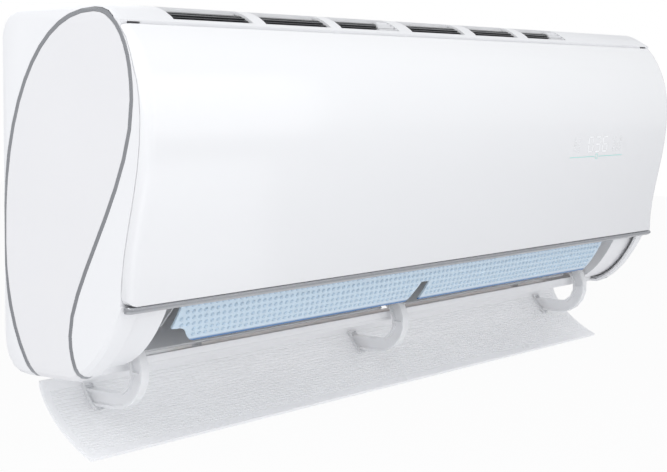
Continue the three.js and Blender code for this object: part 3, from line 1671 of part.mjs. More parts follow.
function coilSensor() {
  const { evaporator_front_upper: [start, end] } = slabEnds();
  const along = end.clone().sub(start).normalize();
  const across = at(-along.y, along.x);
  const middle = start.clone().lerp(end, 0.5).addScaledVector(across, slabThickness / 2 + 3 + seatGap);
  const left = coilRight - 60;
  return rodX(middle.x, middle.y, 3, left, left + 34, 12).add(rodX(middle.x, middle.y, 1.4, left + 30, left + 46, 8));
}

function flapPivotPin() {
  const reach = armThickness / 2 + 5;
  return rodX(flapPivotY, flapPivotZ, flapPinRadius - 1.2, -reach, reach, 24);
}

function frameScrew(x) {
  const head = rodZ(x, screwY, screwRadius * 1.9, bottom - 2.2 - seatGap, bottom - seatGap, 14);
  const stem = rodZ(x, screwY, screwRadius, bottom - 1, bottom + 11, 12);
  return join(head, stem);
}

function wallPlate() {
  const low = plateRise - plateHeight / 2;
  const high = plateRise + plateHeight / 2;
  const plate = block(-plateWidth / 2, plateWidth / 2, -plateThickness, 0, low, high);
  const holes = [];
  for (let i = -3; i <= 3; i += 1) {
    holes.push(rodY(i * plateWidth / 8, high - 14, 3, -5, 5, 8));
    holes.push(rodY(i * plateWidth / 8, low + 14, 3, -5, 5, 8));
  }
  const windows = [-1, 1].map((side) => block(
    side * plateWidth / 4 - 80,
    side * plateWidth / 4 + 80,
    -5,
    5,
    plateRise - 45,
    plateRise + 35,
  ));
  const hooks = [-1, 1].map((side) => {
    const middle = side * hookSpacing / 2;
    const reach = chassisFront - 4;
    const tongue = block(middle - hookWidth / 2, middle + hookWidth / 2, reach, -1, hookZ, hookZ + plateThickness);
    const tip = block(
      middle - hookWidth / 2,
      middle + hookWidth / 2,
      reach,
      reach + plateThickness,
      hookZ,
      hookZ + 9,
    );
    return join(tongue, tip);
  });
  return join(cut(plate, ...holes, ...windows), ...hooks);
}

// ---------------------------------------------------------------- materials and assembly

const materials = {
  casing: [0xf4f4f6, 0.35, 0],
  side: [0xeeeef0, 0.4, 0],
  cover: [0xf7f7f9, 0.22, 0],
  accent: [0x8d9096, 0.35, 0.6],
  chrome: [0xc8cacd, 0.12, 1],
  inner: [0xdfe1e4, 0.55, 0],
  flap: [0xf0f2f5, 0.35, 0],
  louver: [0x8fbbe0, 0.2, 0],
  filter: [0x2a2c2f, 0.8, 0],
  aluminium: [0xb9bdc2, 0.4, 0.8],
  copper: [0xb8744a, 0.35, 0.9],
  brass: [0xb59a52, 0.35, 0.9],
  steel: [0xa7abb0, 0.35, 0.9],
  black: [0x35373b, 0.6, 0],
  board: [0x2f6b45, 0.6, 0],
  rubber: [0x1f2022, 0.9, 0],
};

function finish(name) {
  const [color, roughness, metalness] = materials[name];
  return new THREE.MeshStandardMaterial({ color, roughness, metalness, flatShading: true });
}

function piece(name, solid, material) {
  const mesh = new THREE.Mesh(toGeometry(solid), finish(material));
  mesh.name = name;
  return mesh;
}

function casingGroup() {
  const group = new THREE.Group();
  group.add(
    piece('wall_plate', wallPlate(), 'steel'),
    piece('chassis', chassis(), 'inner'),
    piece('front_frame', frontFrame(), 'casing'),
    piece('left_side_panel', sidePanel(-1), 'side'),
    piece('right_side_panel', sidePanel(1), 'side'),
    piece('left_accent_trim', accentTrim(-1), 'accent'),
    piece('right_accent_trim', accentTrim(1), 'accent'),
    piece('left_outlet_cheek', outletCheek(-1), 'casing'),
    piece('right_outlet_cheek', outletCheek(1), 'casing'),
    piece('drain_pan', drainPan(), 'inner'),
    piece('top_filter', topFilter(), 'filter'),
    piece('frame_screw_left', frameScrew(frameScrewPositions[0]), 'steel'),
    piece('frame_screw_right', frameScrew(frameScrewPositions[1]), 'steel'),
  );
  return group;
}

function coilGroup() {
  const group = new THREE.Group();
  Object.entries(slabEnds()).forEach(([name, [start, end]]) => {
    const outward = name === 'evaporator_rear' ? 1 : -1;
    group.add(piece(name, evaporatorSlab(start, end, outward), 'aluminium'));
  });
  group.add(
    piece('left_tube_sheet', tubeSheet(-1), 'copper'),
    piece('right_tube_sheet', tubeSheet(1), 'copper'),
    piece('coil_sensor', coilSensor(), 'copper'),
    piece('gas_pipe', gasPipe(), 'copper'),
    piece('liquid_pipe', liquidPipe(), 'copper'),
    piece('gas_flare_nut', flareNut(gasPipeY, gasPipeZ, pipeEnd, gasPipeRadius), 'brass'),
    piece('liquid_flare_nut', flareNut(liquidPipeY, liquidPipeZ, pipeEnd - 18, liquidPipeRadius), 'brass'),
  );
  return group;
}

function fanGroup() {
  const group = new THREE.Group();
  const leftShaft = rodX(fanY, fanZ, shaftRadius, endPlateLeft - 4, fanLeft + 13, 24);
  const motorShaft = rodX(fanY, fanZ, shaftRadius, fanRight - 20, motorLeft + 12, 24);
  group.add(
    piece('impeller', impeller(), 'black'),
    piece('fan_stub_shaft', leftShaft, 'steel'),
    piece('motor_shaft', motorShaft, 'steel'),
    piece('fan_bearing', fanBearing(), 'rubber'),
    piece('fan_motor', fanMotor(), 'steel'),
    piece('motor_clamp', motorClamp(), 'inner'),
  );
  return group;
}

function electricsGroup() {
  const group = new THREE.Group();
  group.add(
    piece('electric_box', electricBox(), 'black'),
    piece('electric_box_lid', electricBoxLid(), 'steel'),
    piece('control_board', controlBoard(), 'board'),
    piece('terminal_block', terminalBlock(), 'black'),
    piece('display_board', displayBoard(), 'board'),
    piece('emergency_button', emergencyButton(), 'casing'),
    piece('flap_motor', flapMotor(), 'steel'),
    piece('louver_motor', louverMotor(), 'steel'),
  );
  return group;
}

function coverGroup() {
  const group = new THREE.Group();
  group.add(
    piece('front_cover', frontCover(), 'cover'),
    piece('cover_trim', coverTrim(), 'chrome'),
  );
  return group;
}

function flapGroup() {
  const group = new THREE.Group();
  group.position.set(0, flapPivotY, flapPivotZ);
  group.rotation.x = fromDegrees(flapOpenAngle);
  group.add(piece('flap_panel', flapPanel(), 'flap'));
  const arms = { flap_arm_left: -armSpacing, flap_arm_centre: 0, flap_arm_right: armSpacing };
  Object.entries(arms).forEach(([name, x]) => {
    const arm = piece(name, flapArm(), 'flap');
    arm.position.x = x;
    group.add(arm);
  });
  return group;
}

function vaneGroup() {
  const group = new THREE.Group();
  [-1, 1].forEach((side) => {
    const sideName = side < 0 ? 'left' : 'right';
    for (let i = 0; i < vaneCount; i += 1) {
      const holder = onFloor(side * (vaneFirst + i * vanePitch), vaneRun);
      holder.add(piece(`${sideName}_vane_${i + 1}`, vane(), 'inner'));
      group.add(holder);
    }
    const barHolder = onFloor(0, vaneRun);
    barHolder.add(piece(`${sideName}_vane_link`, linkBar(side), 'inner'));
    const motorHolder = onFloor(side * vaneFirst, vaneRun);
    motorHolder.add(piece(`${sideName}_vane_motor`, vaneMotor(), 'steel'));
    group.add(barHolder, motorHolder);
  });
  return group;
}

function buildUnit() {
  const unit = new THREE.Group();
  unit.name = 'mini_split_indoor_unit';
  const [leftSpan, rightSpan] = filterSpans();
  unit.add(
    casingGroup(),
    coilGroup(),
    fanGroup(),
    electricsGroup(),
    coverGroup(),
    flapGroup(),
    vaneGroup(),
    piece('louver', louverPanel(), 'louver'),
    piece('flap_pivot_pin', flapPivotPin(), 'steel'),
    piece('left_filter', frontFilter(leftSpan), 'filter'),
    piece('right_filter', frontFilter(rightSpan), 'filter'),
  );
  return unit;
}

export default buildUnit();
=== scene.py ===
import json
import math

import bpy
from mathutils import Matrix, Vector
from mathutils.bvhtree import BVHTree


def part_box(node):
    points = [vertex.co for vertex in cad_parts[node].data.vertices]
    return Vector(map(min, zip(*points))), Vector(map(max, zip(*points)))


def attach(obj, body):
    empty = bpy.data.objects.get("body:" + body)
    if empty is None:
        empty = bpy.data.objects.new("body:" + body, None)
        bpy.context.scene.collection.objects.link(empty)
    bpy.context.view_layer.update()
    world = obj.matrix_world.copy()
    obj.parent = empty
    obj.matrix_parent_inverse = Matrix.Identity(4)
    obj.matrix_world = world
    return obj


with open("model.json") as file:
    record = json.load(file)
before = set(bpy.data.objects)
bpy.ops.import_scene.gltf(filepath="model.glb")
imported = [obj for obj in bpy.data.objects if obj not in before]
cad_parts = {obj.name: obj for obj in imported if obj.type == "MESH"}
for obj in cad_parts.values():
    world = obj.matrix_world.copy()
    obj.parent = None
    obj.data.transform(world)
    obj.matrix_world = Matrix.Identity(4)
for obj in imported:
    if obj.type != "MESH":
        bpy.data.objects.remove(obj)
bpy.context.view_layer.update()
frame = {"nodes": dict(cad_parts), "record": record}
nodes = frame["nodes"]
MM = 0.001

# ---------------------------------------------------------------- camera and stage

HEADING = math.radians(52.744)
PITCH = math.radians(-2.708)
PIXELS = 667
FOCAL_PIXELS = 1602.8
SENSOR_WIDTH = 36.0
VERTICAL_SHIFT = -0.1
CAMERA_PLACE = (-1479.5, -1130.7, 89.0)

FLOOR_HEIGHT = -0.85
FLOOR_REACH = 12
FLOOR_WHITENESS = 0.93
STUDIO_STRENGTH = 0.74

# name, place, target, size and watts
LIGHTS = (
    ("key", (-1.3, -1.6, 2.2), (0, -0.1, 0), (1.8, 1.8), 23),
    ("front", (0.9, -2.6, 0.5), (0, -0.1, 0), (2.2, 1.6), 8.5),
    ("left", (-2.6, 0.1, 0.9), (-0.4, -0.1, 0), (1.4, 1.6), 14),
    ("below", (0.0, -1.4, -0.75), (0, -0.1, -0.1), (2.0, 0.8), 3.5),
    ("low_left", (-1.1, -1.0, -0.6), (-0.3, -0.08, -0.12), (0.8, 0.5), 1),
    ("behind", (0.5, 1.8, 1.2), (0, 0, 0), (2.0, 1.4), 8),
)


def add_camera():
    data = bpy.data.cameras.new("camera")
    data.sensor_width = SENSOR_WIDTH
    data.lens = FOCAL_PIXELS / PIXELS * SENSOR_WIDTH
    data.shift_y = VERTICAL_SHIFT
    data.clip_start = 0.05
    data.clip_end = 30
    camera = bpy.data.objects.new("camera", data)
    bpy.context.scene.collection.objects.link(camera)
    forward = Vector((
        math.sin(HEADING) * math.cos(PITCH),
        math.cos(HEADING) * math.cos(PITCH),
        math.sin(PITCH),
    ))
    camera.location = Vector(CAMERA_PLACE) * MM
    camera.rotation_mode = "QUATERNION"
    camera.rotation_quaternion = forward.to_track_quat("-Z", "Y")
    bpy.context.scene.camera = camera
    bpy.context.scene.view_settings.view_transform = "Standard"


def area_light(name, place, target, size, watts):
    data = bpy.data.lights.new(name, "AREA")
    data.shape = "RECTANGLE"
    data.size, data.size_y = size
    data.energy = watts
    light = bpy.data.objects.new(name, data)
    light.location = place
    light.rotation_mode = "QUATERNION"
    light.rotation_quaternion = (Vector(target) - Vector(place)).to_track_quat("-Z", "Y")
    bpy.context.scene.collection.objects.link(light)


def mixed(tree, share, first, second, out):
    """Shows first, and second by the given share, through the tree's output node."""
    mix = tree.nodes.new("ShaderNodeMixShader")
    tree.links.new(share, mix.inputs["Fac"])
    tree.links.new(first, mix.inputs[1])
    tree.links.new(second, mix.inputs[2])
    tree.links.new(mix.outputs[0], tree.nodes.new(out).inputs["Surface"])


def lit(tree, kind, colour, strength):
    """The output of a background or emission node."""
    node = tree.nodes.new(kind)
    node.inputs["Color"].default_value = (*colour, 1)
    node.inputs["Strength"].default_value = strength
    return node.outputs[0]


def add_world():
    """Soft light all round, white where the camera or a clear material sees it."""
    world = bpy.data.worlds.new("studio")
    bpy.context.scene.world = world
    world.use_nodes = True
    tree = world.node_tree
    tree.nodes.clear()
    path = tree.nodes.new("ShaderNodeLightPath")
    seen = tree.nodes.new("ShaderNodeMath")
    seen.operation = "MAXIMUM"
    tree.links.new(path.outputs["Is Camera Ray"], seen.inputs[0])
    tree.links.new(path.outputs["Is Transmission Ray"], seen.inputs[1])
    soft = lit(tree, "ShaderNodeBackground", (0.97, 0.98, 1.0), STUDIO_STRENGTH)
    bright = lit(tree, "ShaderNodeBackground", (1, 1, 1), 1.0)
    mixed(tree, seen.outputs[0], soft, bright, "ShaderNodeOutputWorld")


def floor_material():
    """Pale grey in the light, near white to the camera, with a little of the shadow left."""
    material = bpy.data.materials.new("floor")
    material.use_nodes = True
    tree = material.node_tree
    tree.nodes.clear()
    path = tree.nodes.new("ShaderNodeLightPath")
    diffuse = tree.nodes.new("ShaderNodeBsdfDiffuse")
    diffuse.inputs["Color"].default_value = (0.82, 0.82, 0.83, 1)
    glow = lit(tree, "ShaderNodeEmission", (1, 1, 1), 1.0)
    share = tree.nodes.new("ShaderNodeMath")
    share.operation = "MULTIPLY"
    share.inputs[1].default_value = FLOOR_WHITENESS
    tree.links.new(path.outputs["Is Camera Ray"], share.inputs[0])
    mixed(tree, share.outputs[0], diffuse.outputs[0], glow, "ShaderNodeOutputMaterial")
    return material


def add_floor():
    corners = ((-1, -1), (1, -1), (1, 1), (-1, 1))
    mesh = bpy.data.meshes.new("floor")
    mesh.from_pydata(
        [(x * FLOOR_REACH, y * FLOOR_REACH, FLOOR_HEIGHT) for x, y in corners],
        [],
        [(0, 1, 2, 3)],
    )
    mesh.materials.append(floor_material())
    floor = bpy.data.objects.new("floor", mesh)
    bpy.context.scene.collection.objects.link(floor)


def add_lights():
    for name, place, target, size, watts in LIGHTS:
        area_light(name, place, target, size, watts)


# ---------------------------------------------------------------- materials

EDGE_RADIUS = 0.0006
METAL_EDGE_RADIUS = 0.0004


def as_colour(value):
    """Four numbers from a colour or from one grey value."""
    return (value, value, value, 1) if isinstance(value, float) else (*value, 1)


class Shader:
    """Builds one node tree around a Principled shader."""

    def __init__(self, name):
        self.material = bpy.data.materials.new(name)
        self.material.use_nodes = True
        self.tree = self.material.node_tree
        self.bsdf = self.tree.nodes["Principled BSDF"]
        self.coordinates = None

    def node(self, kind, **values):
        node = self.tree.nodes.new(kind)
        for key, value in values.items():
            if hasattr(node, key):
                setattr(node, key, value)
            else:
                node.inputs[key.replace("_", " ")].default_value = value
        return node

    def link(self, source, target):
        self.tree.links.new(source, target)

    def place(self):
        if self.coordinates is None:
            self.coordinates = self.node("ShaderNodeTexCoord").outputs["Object"]
        return self.coordinates

    def stretched(self, scale):
        mapping = self.node("ShaderNodeMapping")
        mapping.inputs["Scale"].default_value = scale
        self.link(self.place(), mapping.inputs["Vector"])
        return mapping.outputs["Vector"]

    def noise(self, scale, detail=2.0, vector=None):
        node = self.node("ShaderNodeTexNoise", Scale=scale, Detail=detail)
        self.link(vector or self.place(), node.inputs["Vector"])
        return node.outputs["Fac"]

    def ramp(self, source, low, high, start=0.3, end=0.7):
        node = self.node("ShaderNodeValToRGB")
        node.color_ramp.elements[0].position = start
        node.color_ramp.elements[1].position = end
        node.color_ramp.elements[0].color = as_colour(low)
        node.color_ramp.elements[1].color = as_colour(high)
        self.link(source, node.inputs["Fac"])
        return node.outputs["Color"]

    def height(self, low, high):
        """How far up a point is between two heights, from 0 to 1."""
        axes = self.node("ShaderNodeSeparateXYZ")
        self.link(self.place(), axes.inputs["Vector"])
        span = self.node("ShaderNodeMapRange")
        span.inputs["From Min"].default_value = low
        span.inputs["From Max"].default_value = high
        self.link(axes.outputs["Z"], span.inputs["Value"])
        return span.outputs["Result"]

    def colour(self, tone):
        self.link(tone, self.bsdf.inputs["Base Color"])

    def roughness(self, scale, detail, low, high):
        self.link(self.ramp(self.noise(scale, detail), low, high), self.bsdf.inputs["Roughness"])

    def set(self, **values):
        for key, value in values.items():
            self.bsdf.inputs[key.replace("_", " ")].default_value = value

    def bump(self, height, strength, distance, radius=0.0):
        node = self.node("ShaderNodeBump", Strength=strength, Distance=distance)
        self.link(height, node.inputs["Height"])
        if radius:
            self.link(self.round_edges(radius), node.inputs["Normal"])
        self.link(node.outputs["Normal"], self.bsdf.inputs["Normal"])

    def round_edges(self, radius):
        node = self.node("ShaderNodeBevel", Radius=radius)
        node.samples = 4
        return node.outputs["Normal"]


def plastic(name, colour, roughness, grain=900.0, relief=0.04, drift=0.02):
    """Moulded plastic: a fine grain in the surface, slight drift in tone, softened edges."""
    shader = Shader(name)
    low = tuple(max(c - drift, 0) for c in colour)
    shader.colour(shader.ramp(shader.noise(5.0, 3.0), low, colour))
    shader.roughness(60.0, 4.0, roughness - 0.03, roughness + 0.04)
    shader.set(IOR=1.5)
    shader.bump(shader.noise(grain, 2.0), relief, 0.0004, EDGE_RADIUS)
    return shader.material


def metal(name, colour, roughness, grain, relief):
    """Drawn or brushed metal: streaks along one direction, softened edges."""
    shader = Shader(name)
    streaks = shader.noise(1.0, 3.0, shader.stretched(grain))
    low = tuple(c * 0.9 for c in colour)
    shader.colour(shader.ramp(streaks, low, colour))
    shader.link(shader.ramp(streaks, roughness + 0.07, roughness - 0.02), shader.bsdf.inputs["Roughness"])
    shader.set(Metallic=1.0)
    shader.bump(streaks, relief, 0.0003, METAL_EDGE_RADIUS)
    return shader.material


def clear_plastic(name, colour, roughness, transmission):
    """Tinted see-through plastic."""
    shader = Shader(name)
    low = tuple(c * 0.92 for c in colour)
    shader.colour(shader.ramp(shader.noise(9.0, 2.0), low, colour))
    shader.roughness(40.0, 3.0, roughness - 0.03, roughness + 0.03)
    shader.set(Transmission_Weight=transmission, IOR=1.46)
    shader.bump(shader.noise(300.0, 2.0), 0.03, 0.0004)
    return shader.material


def milky_plastic(name, colour, roughness):
    """Thin translucent white plastic: light from behind glows through it."""
    shader = Shader(name)
    low = tuple(c - 0.012 for c in colour)
    tone = shader.ramp(shader.noise(6.0, 2.0), low, colour)
    shader.colour(tone)
    shader.roughness(30.0, 3.0, roughness - 0.03, roughness + 0.03)
    glow = shader.node("ShaderNodeBsdfTranslucent")
    shader.link(tone, glow.inputs["Color"])
    mix = shader.node("ShaderNodeMixShader")
    mix.inputs["Fac"].default_value = 0.4
    shader.link(shader.bsdf.outputs["BSDF"], mix.inputs[1])
    shader.link(glow.outputs["BSDF"], mix.inputs[2])
    out = shader.tree.nodes["Material Output"]
    shader.link(mix.outputs["Shader"], out.inputs["Surface"])
    shader.bump(shader.noise(500.0, 1.0), 0.01, 0.0003)
    return shader.material


def painted_shade_cover(name, colour, low_colour):
    """Glossy white plastic, with painted shade that makes it a little greyer towards its lower edge."""
    shader = Shader(name)
    shader.colour(shader.ramp(shader.height(-0.095, 0.125), low_colour, colour, 0.0, 1.0))
    shader.roughness(60.0, 4.0, 0.17, 0.22)
    shader.set(Coat_Weight=0.35, Coat_Roughness=0.08, IOR=1.5)
    shader.bump(shader.noise(220.0, 2.0), 0.01, 0.0004, EDGE_RADIUS)
    return shader.material


def tinted_louver(name, colour, low_colour):
    """Pale blue see-through plastic that deepens towards its lower edge."""
    shader = Shader(name)
    shader.colour(shader.ramp(shader.height(-0.1445, -0.1), low_colour, colour, 0.05, 0.1))
    shader.roughness(40.0, 3.0, 0.08, 0.16)
    shader.set(Transmission_Weight=0.15, IOR=1.46)
    shader.bump(shader.noise(260.0, 2.0), 0.03, 0.0004)
    return shader.material


def make_materials():
    return {
        "white_plastic": plastic("white_plastic", (0.84, 0.845, 0.86), 0.34),
        # the cover's second colour is painted shade towards its lower edge
        "cover_plastic": painted_shade_cover("cover_plastic", (0.885, 0.89, 0.90), (0.74, 0.745, 0.76)),
        "side_plastic": plastic("side_plastic", (0.80, 0.80, 0.815), 0.36),
        "accent_metallic": metal("accent_metallic", (0.42, 0.43, 0.45), 0.26, (120.0, 120.0, 120.0), 0.03),
        "chrome": metal("chrome", (0.52, 0.53, 0.55), 0.1, (6.0, 400.0, 400.0), 0.01),
        "inner_plastic": plastic("inner_plastic", (0.84, 0.85, 0.87), 0.5, 700.0, 0.08),
        "flap_plastic": milky_plastic("flap_plastic", (0.955, 0.96, 0.97), 0.3),
        "louver_plastic": tinted_louver("louver_plastic", (0.66, 0.80, 0.92), (0.03, 0.16, 0.42)),
        "dark_net": plastic("dark_net", (0.03, 0.032, 0.036), 0.6, 1500.0, 0.2, drift=0.008),
        "fin_aluminium": metal("fin_aluminium", (0.72, 0.74, 0.77), 0.32, (900.0, 30.0, 30.0), 0.1),
        "copper_tube": metal("copper_tube", (0.76, 0.42, 0.26), 0.3, (60.0, 60.0, 60.0), 0.05),
        "brass": metal("brass", (0.74, 0.58, 0.28), 0.26, (200.0, 200.0, 200.0), 0.05),
        "steel": metal("steel", (0.60, 0.61, 0.63), 0.34, (30.0, 600.0, 600.0), 0.08),
        "black_plastic": plastic("black_plastic", (0.035, 0.036, 0.04), 0.48, 1100.0, 0.15, drift=0.008),
        "board_green": plastic("board_green", (0.03, 0.16, 0.07), 0.4, 300.0, 0.1, drift=0.02),
        "rubber": plastic("rubber", (0.025, 0.025, 0.027), 0.8, 1400.0, 0.25, drift=0.005),
    }


def dress_frame(materials):
    """Gives every node its slot's material and smooth faces with crisp edges."""
    for part in frame["record"]["subparts"]:
        obj = nodes[part["node"]]
        obj.data.materials.clear()
        obj.data.materials.append(materials[part["material_slot"]])
        smooth(obj, 28)


def smooth(obj, degrees):
    """Smooth faces, with the edges that turn by more than degrees kept crisp."""
    obj.data.polygons.foreach_set("use_smooth", [True] * len(obj.data.polygons))
    weld = obj.modifiers.new("weld", "WELD")
    weld.merge_threshold = 0.00002
    edges = obj.modifiers.new("edges", "EDGE_SPLIT")
    edges.split_angle = math.radians(degrees)


# ---------------------------------------------------------------- modelled detail

class Shape:
    """Gathers the faces of one piece, in metres, in the row frame."""

    def __init__(self):
        self.points = []
        self.faces = []

    def block(self, centre, x, y, z):
        """A box about centre, with half extents given as three vectors."""
        start = len(self.points)
        for i, j, k in ((a, b, c) for a in (-1, 1) for b in (-1, 1) for c in (-1, 1)):
            self.points.append(centre + x * i + y * j + z * k)
        sides = ((0, 1, 3, 2), (4, 6, 7, 5), (0, 4, 5, 1), (2, 3, 7, 6), (0, 2, 6, 4), (1, 5, 7, 3))
        self.faces += [tuple(start + i for i in side) for side in sides]

    def bar(self, start, end, width, depth, up):
        """A square bar from start to end, depth measured along up."""
        along = (end - start) / 2
        across = along.cross(up).normalized() * width / 2
        self.block((start + end) / 2, along, across, up.normalized() * depth / 2)

    def turned(self, centre, axis, profile, sides):
        """A body of revolution; profile lists (radius, height) pairs and closes at both ends."""
        axis = axis.normalized()
        side = axis.orthogonal().normalized()
        other = axis.cross(side)
        start = len(self.points)
        for radius, height in profile:
            for i in range(sides):
                turn = 2 * math.pi * i / sides
                spoke = side * math.cos(turn) + other * math.sin(turn)
                self.points.append(centre + axis * height + spoke * radius)
        for ring in range(len(profile) - 1):
            low = start + ring * sides
            for i in range(sides):
                after = (i + 1) % sides
                self.faces.append((low + i, low + after, low + sides + after, low + sides + i))
        last = start + (len(profile) - 1) * sides
        self.faces.append(tuple(start + i for i in reversed(range(sides))))
        self.faces.append(tuple(last + i for i in range(sides)))

    def piece(self, name, material, body, degrees=0):
        """Makes the object, which rides on body and takes the given material."""
        mesh = bpy.data.meshes.new(name)
        mesh.from_pydata(self.points, [], self.faces)
        mesh.materials.append(material)
        obj = bpy.data.objects.new(name, mesh)
        bpy.context.scene.collection.objects.link(obj)
        if degrees:
            smooth(obj, degrees)
        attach(obj, body)


def surface(node):
    """The node's faces, ready for rays."""
    mesh = nodes[node].data
    return BVHTree.FromPolygons([v.co for v in mesh.vertices], [p.vertices[:] for p in mesh.polygons])


def at(x, y, z):
    """A point given in millimetres."""
    return Vector((x, y, z)) * MM


BUMP_PITCH = 8.5
BUMP_ROWS = 6
BUMP_ROW_STEP = 7.4
BUMPS_PER_ROW = 94
BUMP_FIRST = -402
BUMP_SIDES = 8
BUMP_PROFILE = ((2.4, -0.3), (2.3, 0.1), (1.85, 0.9), (1.1, 1.5), (0.3, 1.75))
BUMP_MARGINS = ((0, 0), (-0.004, 0), (0.004, 0), (0, -0.003), (0, 0.003))


def louver_bumps(materials):
    """Staggered rows of low domes on the louver's outer face, clear of its ends and notch."""
    skin = surface("louver")
    facing = Vector((0, 0.8, 0.6))
    down = Vector((0, 0.6, -0.8))
    top = at(0, -146, -104) - facing * 0.03
    profile = [(radius * MM, height * MM) for radius, height in BUMP_PROFILE]
    shape = Shape()
    for row in range(BUMP_ROWS):
        shift = BUMP_PITCH / 2 if row % 2 else 0
        fall = down * (2 + row * BUMP_ROW_STEP) * MM
        for step in range(BUMPS_PER_ROW):
            start = top + fall + Vector(((BUMP_FIRST + shift + step * BUMP_PITCH) * MM, 0, 0))
            hits = [
                skin.ray_cast(start + Vector((dx, 0, 0)) + down * dz, facing, 0.06)
                for dx, dz in BUMP_MARGINS
            ]
            if any(hit[0] is None or hit[1].dot(facing) > -0.5 for hit in hits):
                continue
            if max(hit[3] for hit in hits) - min(hit[3] for hit in hits) > 0.003:
                continue
            shape.turned(hits[0][0], hits[0][1], profile, BUMP_SIDES)
    # the domes take the louver's plastic with painted shade
    shape.piece("louver_bumps", materials["louver_beads_painted_shade"], "louver", 50)


SEGMENTS = {
    "top": ((0, 2), (1, 2)), "upper_left": ((0, 1), (0, 2)), "upper_right": ((1, 1), (1, 2)),
    "middle": ((0, 1), (1, 1)), "lower_left": ((0, 0), (0, 1)), "lower_right": ((1, 0), (1, 1)),
    "bottom": ((0, 0), (1, 0)),
}
NUMERALS = {
    "0": ("top", "upper_left", "upper_right", "lower_left", "lower_right", "bottom"),
    "3": ("top", "upper_right", "middle", "lower_right", "bottom"),
    "6": ("top", "upper_left", "middle", "lower_left", "lower_right", "bottom"),
}


NUMERAL_LEFT = 281
NUMERAL_PITCH = 18.5
NUMERAL_FOOT = 17
NUMERAL_WIDTH = 11
NUMERAL_HALF_HEIGHT = 9
NUMERAL_GAP = 0.9
NUMERAL_STROKE = 1.5
MARKS = ((245, 3), (254, 3), (345, 3), (354, 2), (363, 3))
MARK_FOOT = 18
MARK_STEP = 6.5
LINE_Z = 11
RING_X = 306
RING_RADIUS = 3.2
RING_SIDES = 12
STROKE_LENGTH = 4
STROKE_DEPTH = 0.12


def on_cover(skin, x, z):
    """The point of the cover's front at x, z, and the way it faces."""
    place, normal, _, _ = skin.ray_cast(at(x, -260, z), Vector((0, 1, 0)), 0.2)
    return place, normal


def stroke(shape, skin, start, end, width):
    """A thin raised line on the cover between two x, z places, in short lengths that follow it."""
    lengths = max(1, round(math.dist(start, end) / STROKE_LENGTH))
    for i in range(lengths):
        pair = []
        for share in (i / lengths, (i + 1) / lengths):
            x = start[0] + (end[0] - start[0]) * share
            z = start[1] + (end[1] - start[1]) * share
            pair.append(on_cover(skin, x, z))
        shape.bar(pair[0][0], pair[1][0], width * MM, STROKE_DEPTH * MM, pair[0][1])


def numeral(shape, skin, figure, left):
    """One seven-segment figure."""
    for name in NUMERALS[figure]:
        (ax, az), (bx, bz) = SEGMENTS[name]
        gap_x = NUMERAL_GAP if ax != bx else 0
        gap_z = NUMERAL_GAP if az != bz else 0
        start = (left + ax * NUMERAL_WIDTH + gap_x, NUMERAL_FOOT + az * NUMERAL_HALF_HEIGHT + gap_z)
        end = (left + bx * NUMERAL_WIDTH - gap_x, NUMERAL_FOOT + bz * NUMERAL_HALF_HEIGHT - gap_z)
        stroke(shape, skin, start, end, NUMERAL_STROKE)


def small_mark(shape, skin, left, low):
    """Two short lines joined by two uprights."""
    stroke(shape, skin, (left, low), (left + 4.5, low), 0.7)
    stroke(shape, skin, (left, low + 3), (left + 4.5, low + 3), 0.7)
    stroke(shape, skin, (left + 1.2, low), (left + 1.2, low + 3), 0.6)
    stroke(shape, skin, (left + 3.4, low), (left + 3.4, low + 3), 0.6)


def display(materials):
    """Faint numerals, small marks and a thin tinted line that show through the cover."""
    skin = surface("front_cover")
    shape = Shape()
    for index, figure in enumerate("036"):
        numeral(shape, skin, figure, NUMERAL_LEFT + index * NUMERAL_PITCH)
    for left, rows in MARKS:
        for row in range(rows):
            small_mark(shape, skin, left, MARK_FOOT + row * MARK_STEP)
    shape.piece("display_numerals", materials["display_white"], "cover")
    line = Shape()
    stroke(line, skin, (238, LINE_Z), (300, LINE_Z), 0.9)
    stroke(line, skin, (312, LINE_Z), (374, LINE_Z), 0.9)
    for i in range(RING_SIDES):
        ends = []
        for step in (i, i + 1):
            turn = 2 * math.pi * step / RING_SIDES
            ends.append((RING_X + RING_RADIUS * math.cos(turn), LINE_Z + RING_RADIUS * math.sin(turn)))
        stroke(line, skin, ends[0], ends[1], 1.0)
    line.piece("display_line", materials["display_mint"], "cover")


NET_LOW = -67.5
NET_HIGH = 105.5
NET_PITCH = 2.5
THREAD_WIDTH = 0.35
THREAD_DEPTH = 0.3


def filter_net(materials, name, x_low, x_high):
    """Crossed threads over one filter's window."""
    skin = surface(name)
    middle = (x_low + x_high) / 2

    def front(z):
        return skin.ray_cast(at(middle, -260, z), Vector((0, 1, 0)), 0.3)[0]

    bottom, top = front(NET_LOW + 3), front(NET_HIGH - 3)
    lean = (top - bottom) / (top.z - bottom.z)
    face = Vector((0, -lean.z, lean.y)).normalized()

    def spot(x, z):
        return Vector((x * MM, bottom.y + (z * MM - bottom.z) * lean.y, z * MM)) + face * 0.1 * MM

    shape = Shape()
    count = int((x_high - x_low) / NET_PITCH)
    for i in range(1, count):
        x = x_low + (x_high - x_low) * i / count
        shape.bar(spot(x, NET_LOW), spot(x, NET_HIGH), THREAD_WIDTH * MM, THREAD_DEPTH * MM, face)
    rows = int((NET_HIGH - NET_LOW) / NET_PITCH)
    for i in range(1, rows):
        z = NET_LOW + (NET_HIGH - NET_LOW) * i / rows
        shape.bar(spot(x_low, z), spot(x_high, z), THREAD_WIDTH * MM, THREAD_DEPTH * MM, face)
    shape.piece(name + "_net", materials["net_thread"], name)


